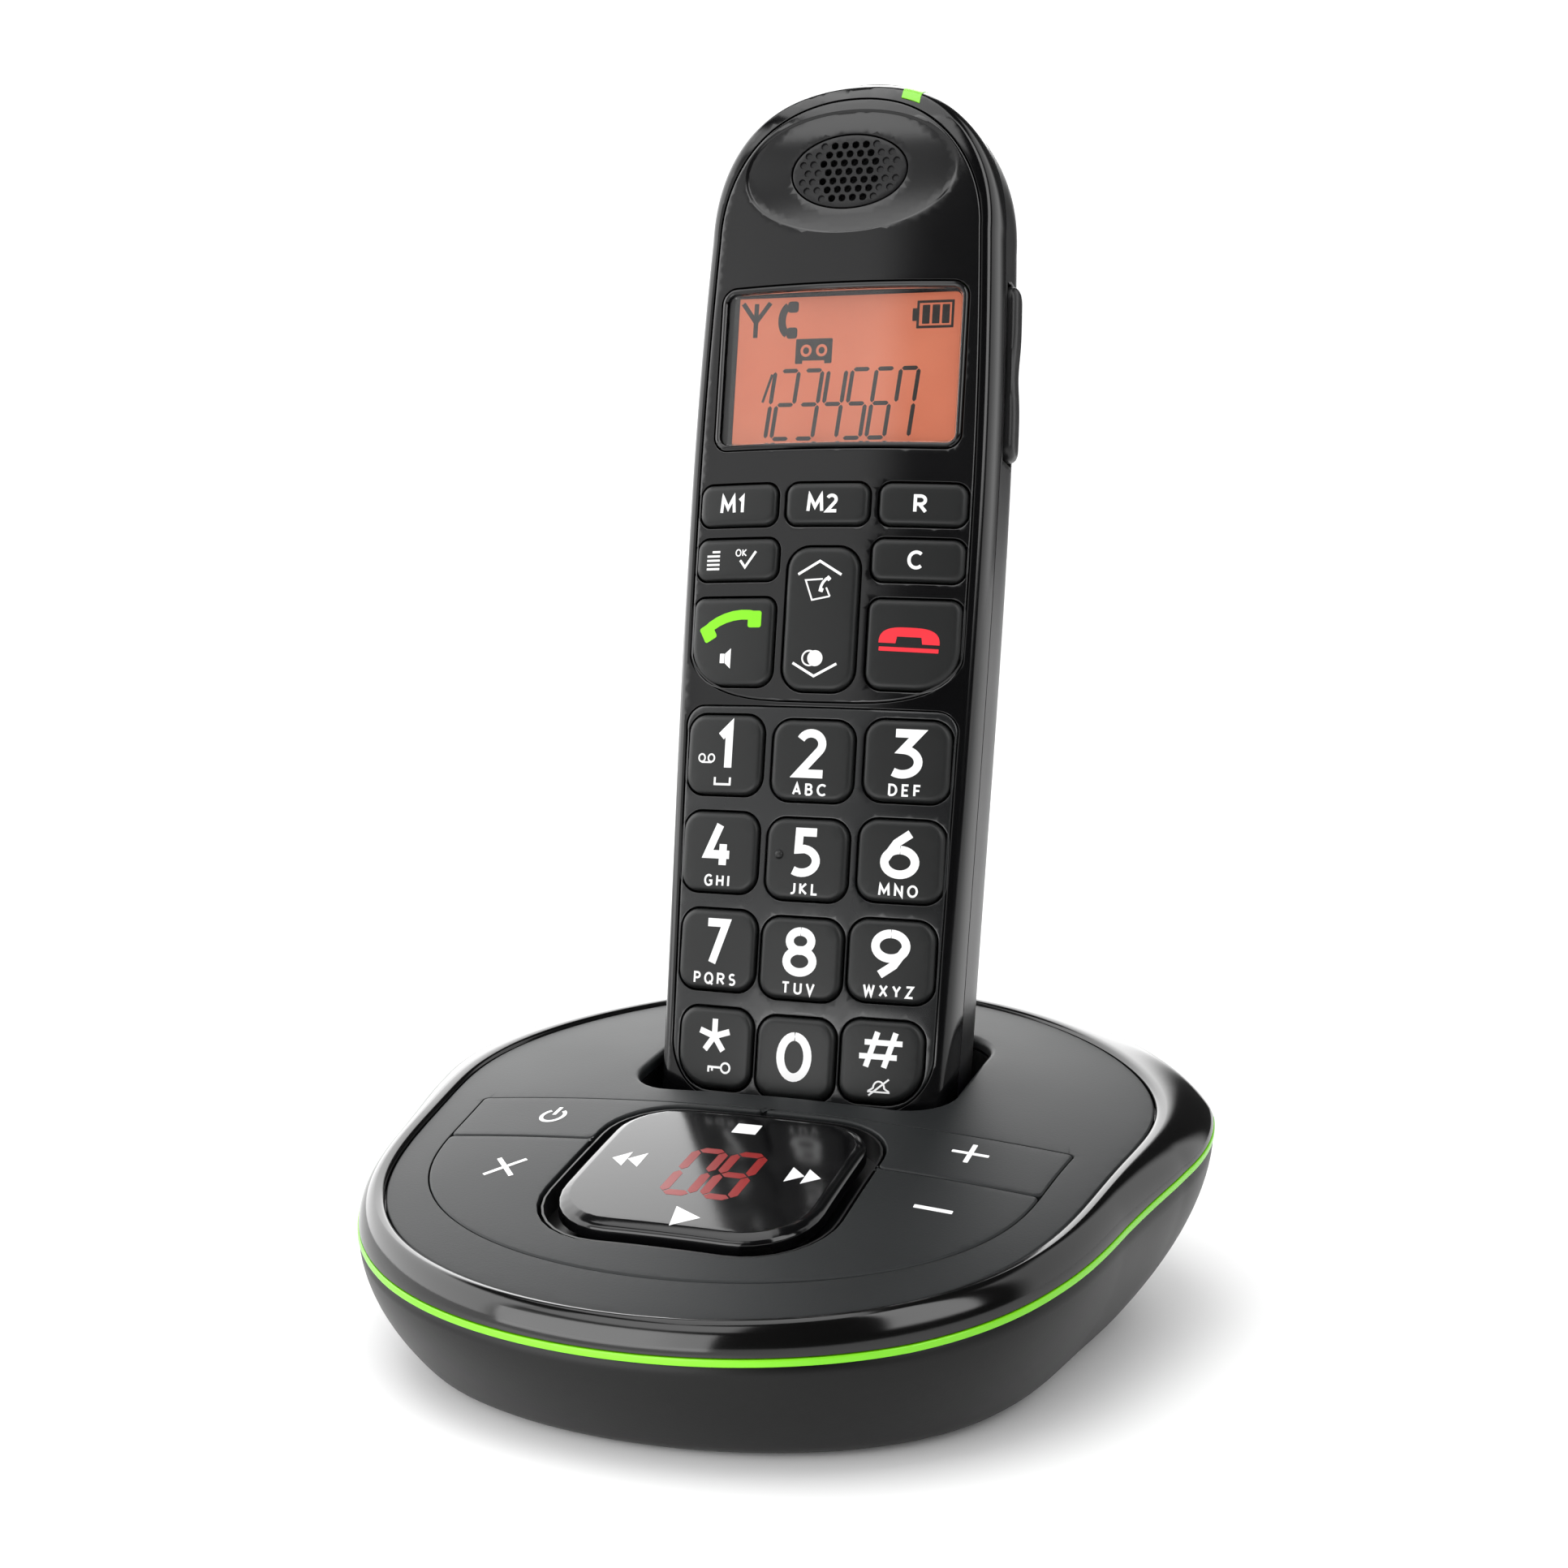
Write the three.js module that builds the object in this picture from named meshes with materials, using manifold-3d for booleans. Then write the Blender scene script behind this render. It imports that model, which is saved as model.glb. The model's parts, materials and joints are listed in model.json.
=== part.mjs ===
// Cordless telephone handset standing in its charging base with answering machine.
// Millimetres, +Z up, the user faces the front of the phone, which looks along -Y; +X is to the right.
import * as THREE from 'three';
import { mergeVertices, mergeGeometries } from 'three/addons/utils/BufferGeometryUtils.js';
import Module from 'manifold-3d';

const wasm = await Module();
wasm.setup();

// ---------------------------------------------------------------- driving dimensions
const CLEAR = 0.3;               // gap between pieces that meet
const KEY_GAP = 0.3;             // gap around every key
const KEY_TRAVEL = 0.45;         // how far a handset key goes in
const LEAN_DEG = 9.89;           // how far the docked handset leans back

// handset
const HS_LENGTH = 175.8;           // bottom to top
const HS_HALF_WIDTH = 25.3;      // at the widest point
const HS_FOOT_INSET = 2.2;       // narrowing of each side at the bottom
const HS_HEAD_INSET = 1.1;       // narrowing of each side where the arch starts
const HS_DEPTH = 27;             // front to back
const HS_ARCH = 26;              // height of the arched top
const HS_CROWN = 0.0096;         // curvature of the front, 1/mm
const HS_WALL = 1.9;             // shell wall
const HS_SPLIT = 8;              // depth of the joint between the two shells
const HS_FRONT_WALL = 3.4;       // front surface to the inside
const PANEL_THICK = 1.5;
const PANEL_MARGIN = 2.6;        // handset side to the edge of the face panels
const PANEL_TOP_MARGIN = 4.2;
const KEYPAD_BOTTOM = 12;       // height of the keypad panel's lower edge
const KEYPAD_TOP = 74.4;
const UPPER_PANEL_BOTTOM = 75.2;
const KEY_PROUD = 0.7;
const KEY_SEAT = 4.9;            // depth of the key undersides
const DIGIT_ROW_PITCH = 15.35;
const DIGIT_FIRST_ROW = 20;      // height of the lowest row
const DIGIT_COL_BOTTOM = 13.6;   // column pitch in the lowest row
const DIGIT_COL_TOP = 15.0;      // column pitch in the highest row
const DIGIT_ARCH = 0.53;         // the outer keys stand this much higher
const DIGIT_W = 13.3;
const DIGIT_H = 12.6;
const DIGIT_R = 3;
const SOFT_ROW = 106.3;          // centre height of the M1, M2, R row
const SOFT_W = 13.6;
const SOFT_H = 6.6;
const SOFT_PITCH = 15.2;
const MENU_ROW = 97.6;
const CALL_ROW = 84.5;
const CALL_H = 14;
const MENU_H = 6.6;
const SIDE_KEY_W = 14.4;
const SIDE_KEY_X = 14.9;
const NAV_W = 11.8;
const NAV_H = 22.6;
const NAV_Z = 88.2;
const LCD_HALF_W = 20.4;
const LCD_LOW = 115.2;
const LCD_HIGH = 141.4;
const LCD_R = 2.4;
const EAR_Z = 159.4;
const EAR_A = 9.5;               // grille half width
const EAR_B = 5.9;               // grille half height
const EAR_DISH_A = 17.8;
const EAR_DISH_B = 10.1;
const EAR_DISH_DEEP = 0.8;
const EAR_HOLE_R = 0.58;
const EAR_HOLE_PITCH = 1.72;
const BOARD_Y = 6.6;
const BOARD_T = 1.2;
const MAT_T = 0.7;
const CELL_R = 5.1;
const CELL_L = 44.2;
const CELL_LOW = 33;
const CELL_Y = 18.6;
const DOOR_HALF_W = 14.5;
const DOOR_LOW = 31;
const DOOR_HIGH = 82;
const SIDE_ROCKER_LOW = 115;
const SIDE_ROCKER_HIGH = 143;
const SIDE_ROCKER_PROUD = 1.4;
const SIDE_ROCKER_T = 5.6;
const INDICATOR_X = 9.1;
const INDICATOR_W = 3.1;
const PAD_X = 8;                 // charge contacts, distance from the middle
const PAD_Y = 15;

// base, heights counted from the underside of the docked handset's front edge
const FLOOR = -16.8;               // the table
const FOOT_H = 0.8;
const FOOT_R = 4.5;
const FOOT_X = 28;
const FOOT_Y_FRONT = -42;
const FOOT_Y_REAR = 28;
const PLATE_X = [59.4, -0.6, 5.6, -1.7];          // top plate outline, sine terms
const PLATE_Y = [-5.3, 54.4, -0.9, 5.2, -0.3];    // top plate outline, cosine terms
const PAD_CURVE_X = [53.0, -1.0, 5.6, -2.0];      // key field outline
const PAD_CURVE_Y = [-3.3, 50.4, -0.5, 1.5, -2.6];
const PLATE_Z = 12.54;           // height of the plate surface at PLATE_REF
const PLATE_REF = -25;
const PLATE_SLOPE_DEG = 10.3;
const DOME_X = 0.00113;
const DOME_Y = 0.0011;
const PLATE_T = 1.8;
// from the front to the rear of the plate: depth position, and how far the widest line lies outside the plate edge
const RIM_REACH = [[-72, 3.6], [-55, 3.7], [-38, 4.2], [-20, 4.9], [0, 6.6], [18, 9.8], [36, 9.2], [56, 8]];
// the same, and how far the accent line lies below the plate edge
const LINE_DROP = [[-72, 4.0], [-55, 4.5], [-38, 4.3], [-20, 4.5], [0, 4.5], [18, 3.8], [36, 2.2], [56, 1.4]];
const RIM_PROUD = 0.6;           // rim ridge above the plate
const LINE_H = 1.0;
const FOOTPRINT_INSET = 5;     // plate edge to the outline on the table
const BASE_WALL = 2.2;
const BASE_FLOOR_T = 2;
const ROW_REAR = -9.6;           // rear edge of the key field
const ROW_SPLIT = -23.8;         // line between the two key rows
const ISLAND_Y = -31.1;
const ISLAND_A = 19.2;
const ISLAND_B = 17.7;
const ISLAND_R = 8;
const ISLAND_R_FRONT = 10.5;
const ISLAND_PROUD = 0.9;
const MOAT = 2.2;
const BASE_KEY_T = 2.6;
const CUP_WALL = 1.5;
const CUP_SIDE = 1.7;            // handset to cup wall
const CUP_FRONT = 6.8;           // handset front to cup wall
const JACK_W = 11.6;
const JACK_H = 9.6;
const JACK_L = 12;
const JACK_X = -14;
const DC_X = 14;
const DC_W = 9;
const DC_HOLE_R = 2.9;
const JACK_Z = -1;
const SPEAKER_R = 12;

// ---------------------------------------------------------------- solids
const LEAN = THREE.MathUtils.degToRad(LEAN_DEG);
const SLOPE = Math.tan(THREE.MathUtils.degToRad(PLATE_SLOPE_DEG));

/** Turn a closed three.js geometry into a solid. */
function solid(geometry) {
  const g = geometry.clone();
  g.deleteAttribute('normal');
  g.deleteAttribute('uv');
  const m = mergeVertices(g, 1e-5);
  return new wasm.Manifold(new wasm.Mesh({
    numProp: 3,
    vertProperties: new Float32Array(m.attributes.position.array),
    triVerts: new Uint32Array(m.index.array),
  }));
}

/** Turn a solid back into a geometry. */
function geometryOf(body) {
  const m = body.getMesh();
  const g = new THREE.BufferGeometry();
  g.setAttribute('position', new THREE.BufferAttribute(new Float32Array(m.vertProperties), 3));
  g.setIndex(new THREE.BufferAttribute(new Uint32Array(m.triVerts), 1));
  g.computeVertexNormals();
  return g;
}

/** Skin between rings of points; with caps it closes both ends, otherwise the last ring joins the first. */
function loft(rings, caps = true) {
  const n = rings[0].length;
  const pos = rings.flat(2);
  const idx = [];
  const count = rings.length;
  const pairs = caps ? count - 1 : count;
  for (let r = 0; r < pairs; r++) {
    const a = r * n;
    const b = ((r + 1) % count) * n;
    for (let i = 0; i < n; i++) {
      const j = (i + 1) % n;
      idx.push(a + i, a + j, b + j, a + i, b + j, b + i);
    }
  }
  if (caps) {
    for (const [r, flip] of [[0, true], [count - 1, false]]) {
      const ring = rings[r];
      const c = ring.reduce((s, p) => [s[0] + p[0] / n, s[1] + p[1] / n, s[2] + p[2] / n], [0, 0, 0]);
      const k = pos.length / 3;
      pos.push(...c);
      for (let i = 0; i < n; i++) {
        const j = (i + 1) % n;
        if (flip) idx.push(k, r * n + j, r * n + i);
        else idx.push(k, r * n + i, r * n + j);
      }
    }
  }
  const g = new THREE.BufferGeometry();
  g.setAttribute('position', new THREE.Float32BufferAttribute(pos, 3));
  g.setIndex(idx);
  return g;
}

/** A solid from rings, turned the right way out. */
function loftSolid(rings, caps = true) {
  const g = loft(rings, caps);
  let v = 0;
  const p = g.attributes.position;
  const q = g.index.array;
  const [a, b, c] = [new THREE.Vector3(), new THREE.Vector3(), new THREE.Vector3()];
  for (let i = 0; i < q.length; i += 3) {
    a.fromBufferAttribute(p, q[i]); b.fromBufferAttribute(p, q[i + 1]); c.fromBufferAttribute(p, q[i + 2]);
    v += a.dot(b.cross(c));
  }
  if (v < 0) {
    for (let i = 0; i < q.length; i += 3) [q[i + 1], q[i + 2]] = [q[i + 2], q[i + 1]];
  }
  return solid(g);
}

/** A prism of a flat outline: upright along z, or along y for the handset's face. */
function prism(points, from, to, axis = 'z') {
  const shape = new THREE.Shape(points.map((p) => new THREE.Vector2(p[0], p[1])));
  const g = new THREE.ExtrudeGeometry(shape, { depth: to - from, bevelEnabled: false, steps: 1 });
  g.translate(0, 0, from);
  if (axis === 'y') {
    // outline x,z in x,z; extrusion along +y
    g.applyMatrix4(new THREE.Matrix4().set(1, 0, 0, 0, 0, 0, 1, 0, 0, 1, 0, 0, 0, 0, 0, 1));
    const q = g.index ? g.index.array : null;
    const merged = q ? g : mergeVertices((g.deleteAttribute('normal'), g.deleteAttribute('uv'), g), 1e-5);
    const t = merged.index.array;
    for (let i = 0; i < t.length; i += 3) [t[i + 1], t[i + 2]] = [t[i + 2], t[i + 1]];
    return solid(merged);
  }
  return solid(g);
}

/** Rounded rectangle; r may be one radius or four, from the lower left corner anticlockwise. */
function roundRect(x0, z0, x1, z1, r, seg = 2) {
  const rr = Array.isArray(r) ? r : [r, r, r, r];
  const out = [];
  const corners = [[x0, z0, 180, 1, 1], [x1, z0, 270, -1, 1], [x1, z1, 0, -1, -1], [x0, z1, 90, 1, -1]];
  corners.forEach(([cx, cz, start, sx, sz], k) => {
    const q = Math.min(rr[k], (x1 - x0) / 2 - 0.01, (z1 - z0) / 2 - 0.01);
    for (let i = 0; i <= seg; i++) {
      const a = THREE.MathUtils.degToRad(start + (90 * i) / seg);
      out.push([cx + sx * q + q * Math.cos(a), cz + sz * q + q * Math.sin(a)]);
    }
  });
  return out;
}

function ellipse(cx, cz, a, b, n = 24, turn = 0) {
  const out = [];
  for (let i = 0; i < n; i++) {
    const t = (2 * Math.PI * i) / n + turn;
    out.push([cx + a * Math.cos(t), cz + b * Math.sin(t)]);
  }
  return out;
}

/** Move an outline outwards by d; it turns anticlockwise. */
function grown(points, d) {
  const n = points.length;
  return points.map((p, i) => {
    const a = points[(i + n - 1) % n];
    const b = points[(i + 1) % n];
    const e1 = new THREE.Vector2(p[0] - a[0], p[1] - a[1]).normalize();
    const e2 = new THREE.Vector2(b[0] - p[0], b[1] - p[1]).normalize();
    const nx = e1.y + e2.y;
    const ny = -e1.x - e2.x;
    const l = Math.hypot(nx, ny);
    const k = d / Math.max(0.4, l / 2) / l;
    return [p[0] + nx * k, p[1] + ny * k];
  });
}

function box(x0, y0, z0, x1, y1, z1) {
  const g = new THREE.BoxGeometry(x1 - x0, y1 - y0, z1 - z0);
  g.translate((x0 + x1) / 2, (y0 + y1) / 2, (z0 + z1) / 2);
  return solid(g);
}

const smooth = (t) => { const x = Math.min(1, Math.max(0, t)); return x * x * (3 - 2 * x); };
const lerp = (a, b, t) => a + (b - a) * t;

// ---------------------------------------------------------------- handset body shape
const ARCH_START = HS_LENGTH - HS_ARCH;
const HEAD_HALF = HS_HALF_WIDTH - HS_HEAD_INSET;
const WIDEST_Z = HS_LENGTH * 0.61;

/** Half width of the handset at a height. */
function halfWidth(z) {
  if (z >= ARCH_START) {
    const t = Math.min(1, (z - ARCH_START) / HS_ARCH);
    return HEAD_HALF * Math.pow(Math.max(0, 1 - Math.pow(t, 2.15)), 1 / 2.05);
  }
  if (z > WIDEST_Z) return HS_HALF_WIDTH - HS_HEAD_INSET * Math.pow((z - WIDEST_Z) / (ARCH_START - WIDEST_Z), 2);
  const low = HS_HALF_WIDTH - HS_FOOT_INSET + 0.8;
  const body = low + (HS_HALF_WIDTH - low) * smooth(z / WIDEST_Z);
  return body - 0.8 * Math.pow(Math.max(0, 1 - z / 6), 2);
}

// right half of the cross section: share of the half width, depth behind the crown or share of the depth
const SECTION = [
  [0, 0], [0.45, 0], [0.8, 0], [0.93, 0.15], [0.985, 2.2],
  [1.0, 0.3], [0.985, 0.62], [0.9, 0.83], [0.7, 0.94], [0.36, 0.99], [0, 1],
];
const FRONT_POINTS = 5;

/** One cross section of the handset at height z, shrunk by inset at the sides. */
function sectionAt(z, inset = 0, front = 0, back = 0) {
  const w = Math.max(0.6, halfWidth(z) - inset);
  const t = Math.max(0, (z - ARCH_START) / HS_ARCH);
  const yFront = 6 * Math.pow(t, 5) + front;
  const yBack = HS_DEPTH - 8 * Math.pow(t, 4) - back;
  const half = SECTION.map(([fx, fy], i) => {
    const x = w * fx;
    const crown = 0.5 * HS_CROWN * Math.pow(Math.min(x, w * 0.93), 2) * (yBack - yFront) / HS_DEPTH;
    const y = i < FRONT_POINTS ? yFront + crown + fy : lerp(yFront, yBack, fy);
    return [x, y, z];
  });
  const left = half.slice(1, -1).reverse().map(([x, y, zz]) => [-x, y, zz]);
  return [...half, ...left];
}

const LEVELS = [0, 2, 6, 30, 70, WIDEST_Z, 136];
const ARCH_STEPS = 7;
function bodyLevels(levels = LEVELS) {
  const out = levels.filter((z) => z < ARCH_START - 2);
  for (let i = 0; i <= ARCH_STEPS; i++) {
    const a = (Math.PI / 2) * (i / ARCH_STEPS);
    out.push(ARCH_START + HS_ARCH * Math.sin(a) * 0.999);
  }
  return out;
}

const outer = loftSolid(bodyLevels().map((z) => sectionAt(z)));
const innerTop = HS_LENGTH - HS_WALL - 0.6;
const inner = loftSolid(
  bodyLevels([0, 30, WIDEST_Z]).map((z) => Math.min(Math.max(z, HS_WALL), innerTop)).filter((z, i, a) => i === 0 || z > a[i - 1] + 0.3)
    .map((z) => sectionAt(z, HS_WALL, HS_FRONT_WALL, HS_WALL)),
);
const sunk = (d) => outer.translate([0, d, 0]);
const FAR = 300;
const frontHalf = box(-FAR, -FAR, -FAR, FAR, HS_SPLIT - CLEAR / 2, FAR);
const rearHalf = box(-FAR, HS_SPLIT + CLEAR / 2, -FAR, FAR, FAR, FAR);

// ---------------------------------------------------------------- handset face outlines
/** Edge of the face panels, right side first, going round anticlockwise. */
function panelOutline(lowZ, highZ, lowCorner, uShape) {
  const right = [];
  const steps = 8;
  if (highZ > ARCH_START) {
    for (let i = 0; i <= steps; i++) {
      const z = lerp(lowZ, ARCH_START, i / steps);
      right.push([halfWidth(z) - PANEL_MARGIN, z]);
    }
    const archH = highZ - ARCH_START;
    const w0 = HEAD_HALF - PANEL_MARGIN;
    for (let i = 1; i < 10; i++) {
      const a = (Math.PI / 2) * (i / 10);
      right.push([w0 * Math.pow(Math.cos(a), 0.97), ARCH_START + archH * Math.sin(a)]);
    }
    right.push([0, highZ]);
  } else {
    for (let i = 0; i <= steps; i++) {
      const z = lerp(lowZ, highZ, i / steps);
      right.push([halfWidth(z) - PANEL_MARGIN, z]);
    }
  }
  const trimmed = right.filter(([, z]) => z > lowZ + lowCorner + 0.2 && (highZ > ARCH_START || z < highZ - 2.2));
  const w = halfWidth(lowZ + lowCorner) - PANEL_MARGIN;
  const bottom = [];
  if (uShape) {
    for (let i = 1; i <= 6; i++) {
      const a = (Math.PI / 2) * (i / 6);
      bottom.push([w * Math.pow(Math.sin(a), 0.55), lowZ + lowCorner * (1 - Math.pow(Math.cos(a), 1.3))]);
    }
  } else {
    for (let i = 1; i <= 6; i++) {
      const a = (Math.PI / 2) * (i / 6);
      bottom.push([w * Math.pow(Math.sin(a), 0.42), lowZ + lowCorner * (1 - Math.pow(Math.cos(a), 1.15))]);
    }
  }
  const top = highZ > ARCH_START ? [] : (() => {
    const wt = halfWidth(highZ) - PANEL_MARGIN;
    return [[wt, highZ - 2], [wt - 0.6, highZ - 0.6], [wt - 2, highZ]];
  })();
  const half = [[0, lowZ], ...bottom, ...trimmed.filter(([, z]) => highZ <= ARCH_START || z < highZ), ...top];
  const mirror = half.slice(1).filter(([x]) => x > 0.01).reverse().map(([x, z]) => [-x, z]);
  const apex = highZ > ARCH_START ? [[0, highZ]] : [];
  return [...half, ...apex, ...mirror];
}
const upperOutline = panelOutline(UPPER_PANEL_BOTTOM, HS_LENGTH - PANEL_TOP_MARGIN, 7.2, true);
const keypadOutline = panelOutline(KEYPAD_BOTTOM, KEYPAD_TOP, 9.5, false);

// keys of the handset: name, outline, tint
const rowPitch = (row) => lerp(DIGIT_COL_BOTTOM, DIGIT_COL_TOP, Math.min(1, row / 2.2));
const keys = [];
const names = [['key_star', 'key_0', 'key_hash'], ['key_7', 'key_8', 'key_9'], ['key_4', 'key_5', 'key_6'], ['key_1', 'key_2', 'key_3']];
names.forEach((row, r) => {
  const pitch = rowPitch(r);
  const w = Math.min(DIGIT_W, pitch - 0.9);
  row.forEach((name, c) => {
    const x = (c - 1) * pitch;
    const z = DIGIT_FIRST_ROW + r * DIGIT_ROW_PITCH + (c === 1 ? 0 : DIGIT_ARCH);
    let rr = DIGIT_R;
    if (name === 'key_star') rr = [5.6, DIGIT_R, DIGIT_R, DIGIT_R];
    if (name === 'key_hash') rr = [DIGIT_R, 5.6, DIGIT_R, DIGIT_R];
    keys.push({ name, cx: x, cz: z, outline: roundRect(x - w / 2, z - DIGIT_H / 2, x + w / 2, z + DIGIT_H / 2, rr), panel: 'keypad' });
  });
});
['key_m1', 'key_m2', 'key_r'].forEach((name, c) => {
  const x = (c - 1) * SOFT_PITCH;
  keys.push({ name, cx: x, cz: SOFT_ROW, outline: roundRect(x - SOFT_W / 2, SOFT_ROW - SOFT_H / 2, x + SOFT_W / 2, SOFT_ROW + SOFT_H / 2, 1.6), panel: 'upper' });
});
keys.push({ name: 'menu_ok_key', cx: -SIDE_KEY_X, cz: MENU_ROW, panel: 'upper',
  outline: roundRect(-SIDE_KEY_X - SIDE_KEY_W / 2, MENU_ROW - MENU_H / 2, -SIDE_KEY_X + SIDE_KEY_W / 2, MENU_ROW + MENU_H / 2, 1.6) });
keys.push({ name: 'clear_key', cx: SIDE_KEY_X, cz: MENU_ROW, panel: 'upper',
  outline: roundRect(SIDE_KEY_X - SIDE_KEY_W / 2, MENU_ROW - MENU_H / 2, SIDE_KEY_X + SIDE_KEY_W / 2, MENU_ROW + MENU_H / 2, 1.6) });
keys.push({ name: 'talk_key', cx: -SIDE_KEY_X, cz: CALL_ROW, panel: 'upper',
  outline: roundRect(-SIDE_KEY_X - SIDE_KEY_W / 2, CALL_ROW - CALL_H / 2, -SIDE_KEY_X + SIDE_KEY_W / 2, CALL_ROW + CALL_H / 2, [6.5, 2.6, 1.6, 1.6]) });
keys.push({ name: 'end_key', cx: SIDE_KEY_X, cz: CALL_ROW, panel: 'upper',
  outline: roundRect(SIDE_KEY_X - SIDE_KEY_W / 2, CALL_ROW - CALL_H / 2, SIDE_KEY_X + SIDE_KEY_W / 2, CALL_ROW + CALL_H / 2, [2.6, 6.5, 1.6, 1.6]) });
keys.push({ name: 'nav_rocker', cx: 0, cz: NAV_Z, panel: 'upper',
  outline: roundRect(-NAV_W / 2, NAV_Z - NAV_H / 2, NAV_W / 2, NAV_Z + NAV_H / 2, 3.6) });

const lcdOutline = roundRect(-LCD_HALF_W, LCD_LOW, LCD_HALF_W, LCD_HIGH, LCD_R);

// ---------------------------------------------------------------- handset pieces
const handsetParts = [];
const add = (list, name, body, material) => list.push({ name, body, material });

const mat = (color, roughness, metalness = 0, extra = {}) => new THREE.MeshStandardMaterial({ color, roughness, metalness, ...extra });
const M = {
  glossBlack: mat(0x1b1b1c, 0.18), satinBlack: mat(0x2a2b2c, 0.42), panel: mat(0x2c2d2e, 0.25), keypad: mat(0x3b3c3d, 0.35),
  key: mat(0x37393a, 0.4), plate: mat(0x55585a, 0.55), shell: mat(0x38393a, 0.4), green: mat(0x9be22e, 0.3), lcd: mat(0xdf8a6b, 0.4),
  lens: mat(0x303030, 0.08), board: mat(0x1f5a35, 0.6), steel: mat(0xb9bcc0, 0.3, 1), rubber: mat(0x1d1d1d, 0.9), cell: mat(0x3f8f4f, 0.4),
  white: mat(0xd8d8d8, 0.6), red: mat(0xb02a26, 0.35),
};

// front shell: frame with a step for the two panels and a hole behind each key
let frontShell = outer.intersect(frontHalf).subtract(inner);
const panelsOut = [upperOutline, keypadOutline].map((o) => grown(o, CLEAR));
for (const o of panelsOut) {
  const pocket = prism(o, -5, 9, 'y').subtract(sunk(PANEL_THICK + CLEAR));
  frontShell = frontShell.subtract(pocket);
}
for (const { outline } of keys) {
  const xs = outline.map((p) => p[0]);
  const zs = outline.map((p) => p[1]);
  const g = KEY_GAP + 0.15;
  frontShell = frontShell.subtract(box(Math.min(...xs) - g, -5, Math.min(...zs) - g, Math.max(...xs) + g, HS_SPLIT + 1, Math.max(...zs) + g));
}
frontShell = frontShell.subtract(prism(roundRect(-LCD_HALF_W + 1, LCD_LOW + 1, LCD_HALF_W - 1, LCD_HIGH - 1, 0.5), -5, HS_SPLIT + 1, 'y'));
frontShell = frontShell.subtract(prism(ellipse(0, EAR_Z, EAR_A - 1, EAR_B - 1, 16), -5, HS_SPLIT + 1, 'y'));
const lampSlot = (g) => box(INDICATOR_X - INDICATOR_W / 2 - g, 3.2 - g, HS_LENGTH - 12, INDICATOR_X + INDICATOR_W / 2 + g, HS_SPLIT - 1.4 + g, HS_LENGTH + 5);
frontShell = frontShell.subtract(lampSlot(CLEAR));
add(handsetParts, 'front_shell', frontShell, M.glossBlack);

// face panels
const slab = (thick, sink = 0) => sunk(sink).subtract(sunk(sink + thick));
let upperPanel = slab(PANEL_THICK).intersect(prism(upperOutline, -5, 9, 'y'));
let keypadPanel = slab(PANEL_THICK).intersect(prism(keypadOutline, -5, 9, 'y'));
for (const k of keys) {
  const hole = prism(grown(k.outline, KEY_GAP), -5, HS_SPLIT + 1, 'y');
  if (k.panel === 'upper') upperPanel = upperPanel.subtract(hole);
  else keypadPanel = keypadPanel.subtract(hole);
}
upperPanel = upperPanel.subtract(prism(grown(lcdOutline, CLEAR), -5, HS_SPLIT + 1, 'y'));
const dish = prism(ellipse(0, EAR_Z, EAR_DISH_A, EAR_DISH_B, 24), -5, 9, 'y').subtract(sunk(EAR_DISH_DEEP));
upperPanel = upperPanel.subtract(dish);
upperPanel = upperPanel.subtract(prism(ellipse(0, EAR_Z, EAR_A + CLEAR, EAR_B + CLEAR, 20), -5, 9, 'y'));
add(handsetParts, 'upper_face_panel', upperPanel, M.panel);
add(handsetParts, 'keypad_panel', keypadPanel, M.keypad);

// earpiece grille with its rows of holes
let grille = prism(ellipse(0, EAR_Z, EAR_A, EAR_B, 20), 0.35, 1.6, 'y');
const holeRows = [4, 5, 6, 5, 6, 5, 4];
holeRows.forEach((count, r) => {
  const z = EAR_Z + (3 - r) * EAR_HOLE_PITCH * 0.82;
  for (let i = 0; i < count; i++) {
    const x = (i - (count - 1) / 2) * EAR_HOLE_PITCH;
    grille = grille.subtract(prism(ellipse(x, z, EAR_HOLE_R, EAR_HOLE_R, 6), -1, 4, 'y'));
  }
});
add(handsetParts, 'earpiece_grille', grille, M.satinBlack);
const disc = (cx, cz, r, y0, y1, n = 20) => prism(ellipse(cx, cz, r, r, n), y0, y1, 'y');
add(handsetParts, 'earpiece_speaker', disc(0, EAR_Z - 1.5, 8.6, 4.7, 7), M.steel);

// display
add(handsetParts, 'display_lens', slab(1.0, 0.35).intersect(prism(lcdOutline, -5, 9, 'y')), M.lens);
add(handsetParts, 'lcd_module', box(-LCD_HALF_W + 1.4, 3.2, LCD_LOW + 1.4, LCD_HALF_W - 1.4, BOARD_Y - CLEAR, LCD_HIGH - 1.4), M.lcd);
add(handsetParts, 'handset_board', box(-19, BOARD_Y, 8, 19, BOARD_Y + BOARD_T, LCD_HIGH + 6), M.board);
add(handsetParts, 'keypad_mat', box(-19.4, BOARD_Y - CLEAR - MAT_T, 12, 19.4, BOARD_Y - CLEAR, SOFT_ROW + SOFT_H / 2 + 1), M.rubber);

// keys
const keyBodies = {};
for (const k of keys) {
  let body = prism(k.outline, -5, KEY_SEAT, 'y').intersect(outer.translate([0, -KEY_PROUD, 0]));
  if (k.name === 'key_5') body = body.add(prism(ellipse(k.cx - 4.4, k.cz + 0.6, 0.75, 0.75, 8), -KEY_PROUD - 0.45, 1, 'y'));
  keyBodies[k.name] = body;
  add(handsetParts, k.name, body, M.key);
}

// indicator lamp in the rim of the arched top
add(handsetParts, 'indicator_light', lampSlot(0).intersect(outer).subtract(prism(grown(upperOutline, CLEAR), -5, 9, 'y')).subtract(inner), M.green);

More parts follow.
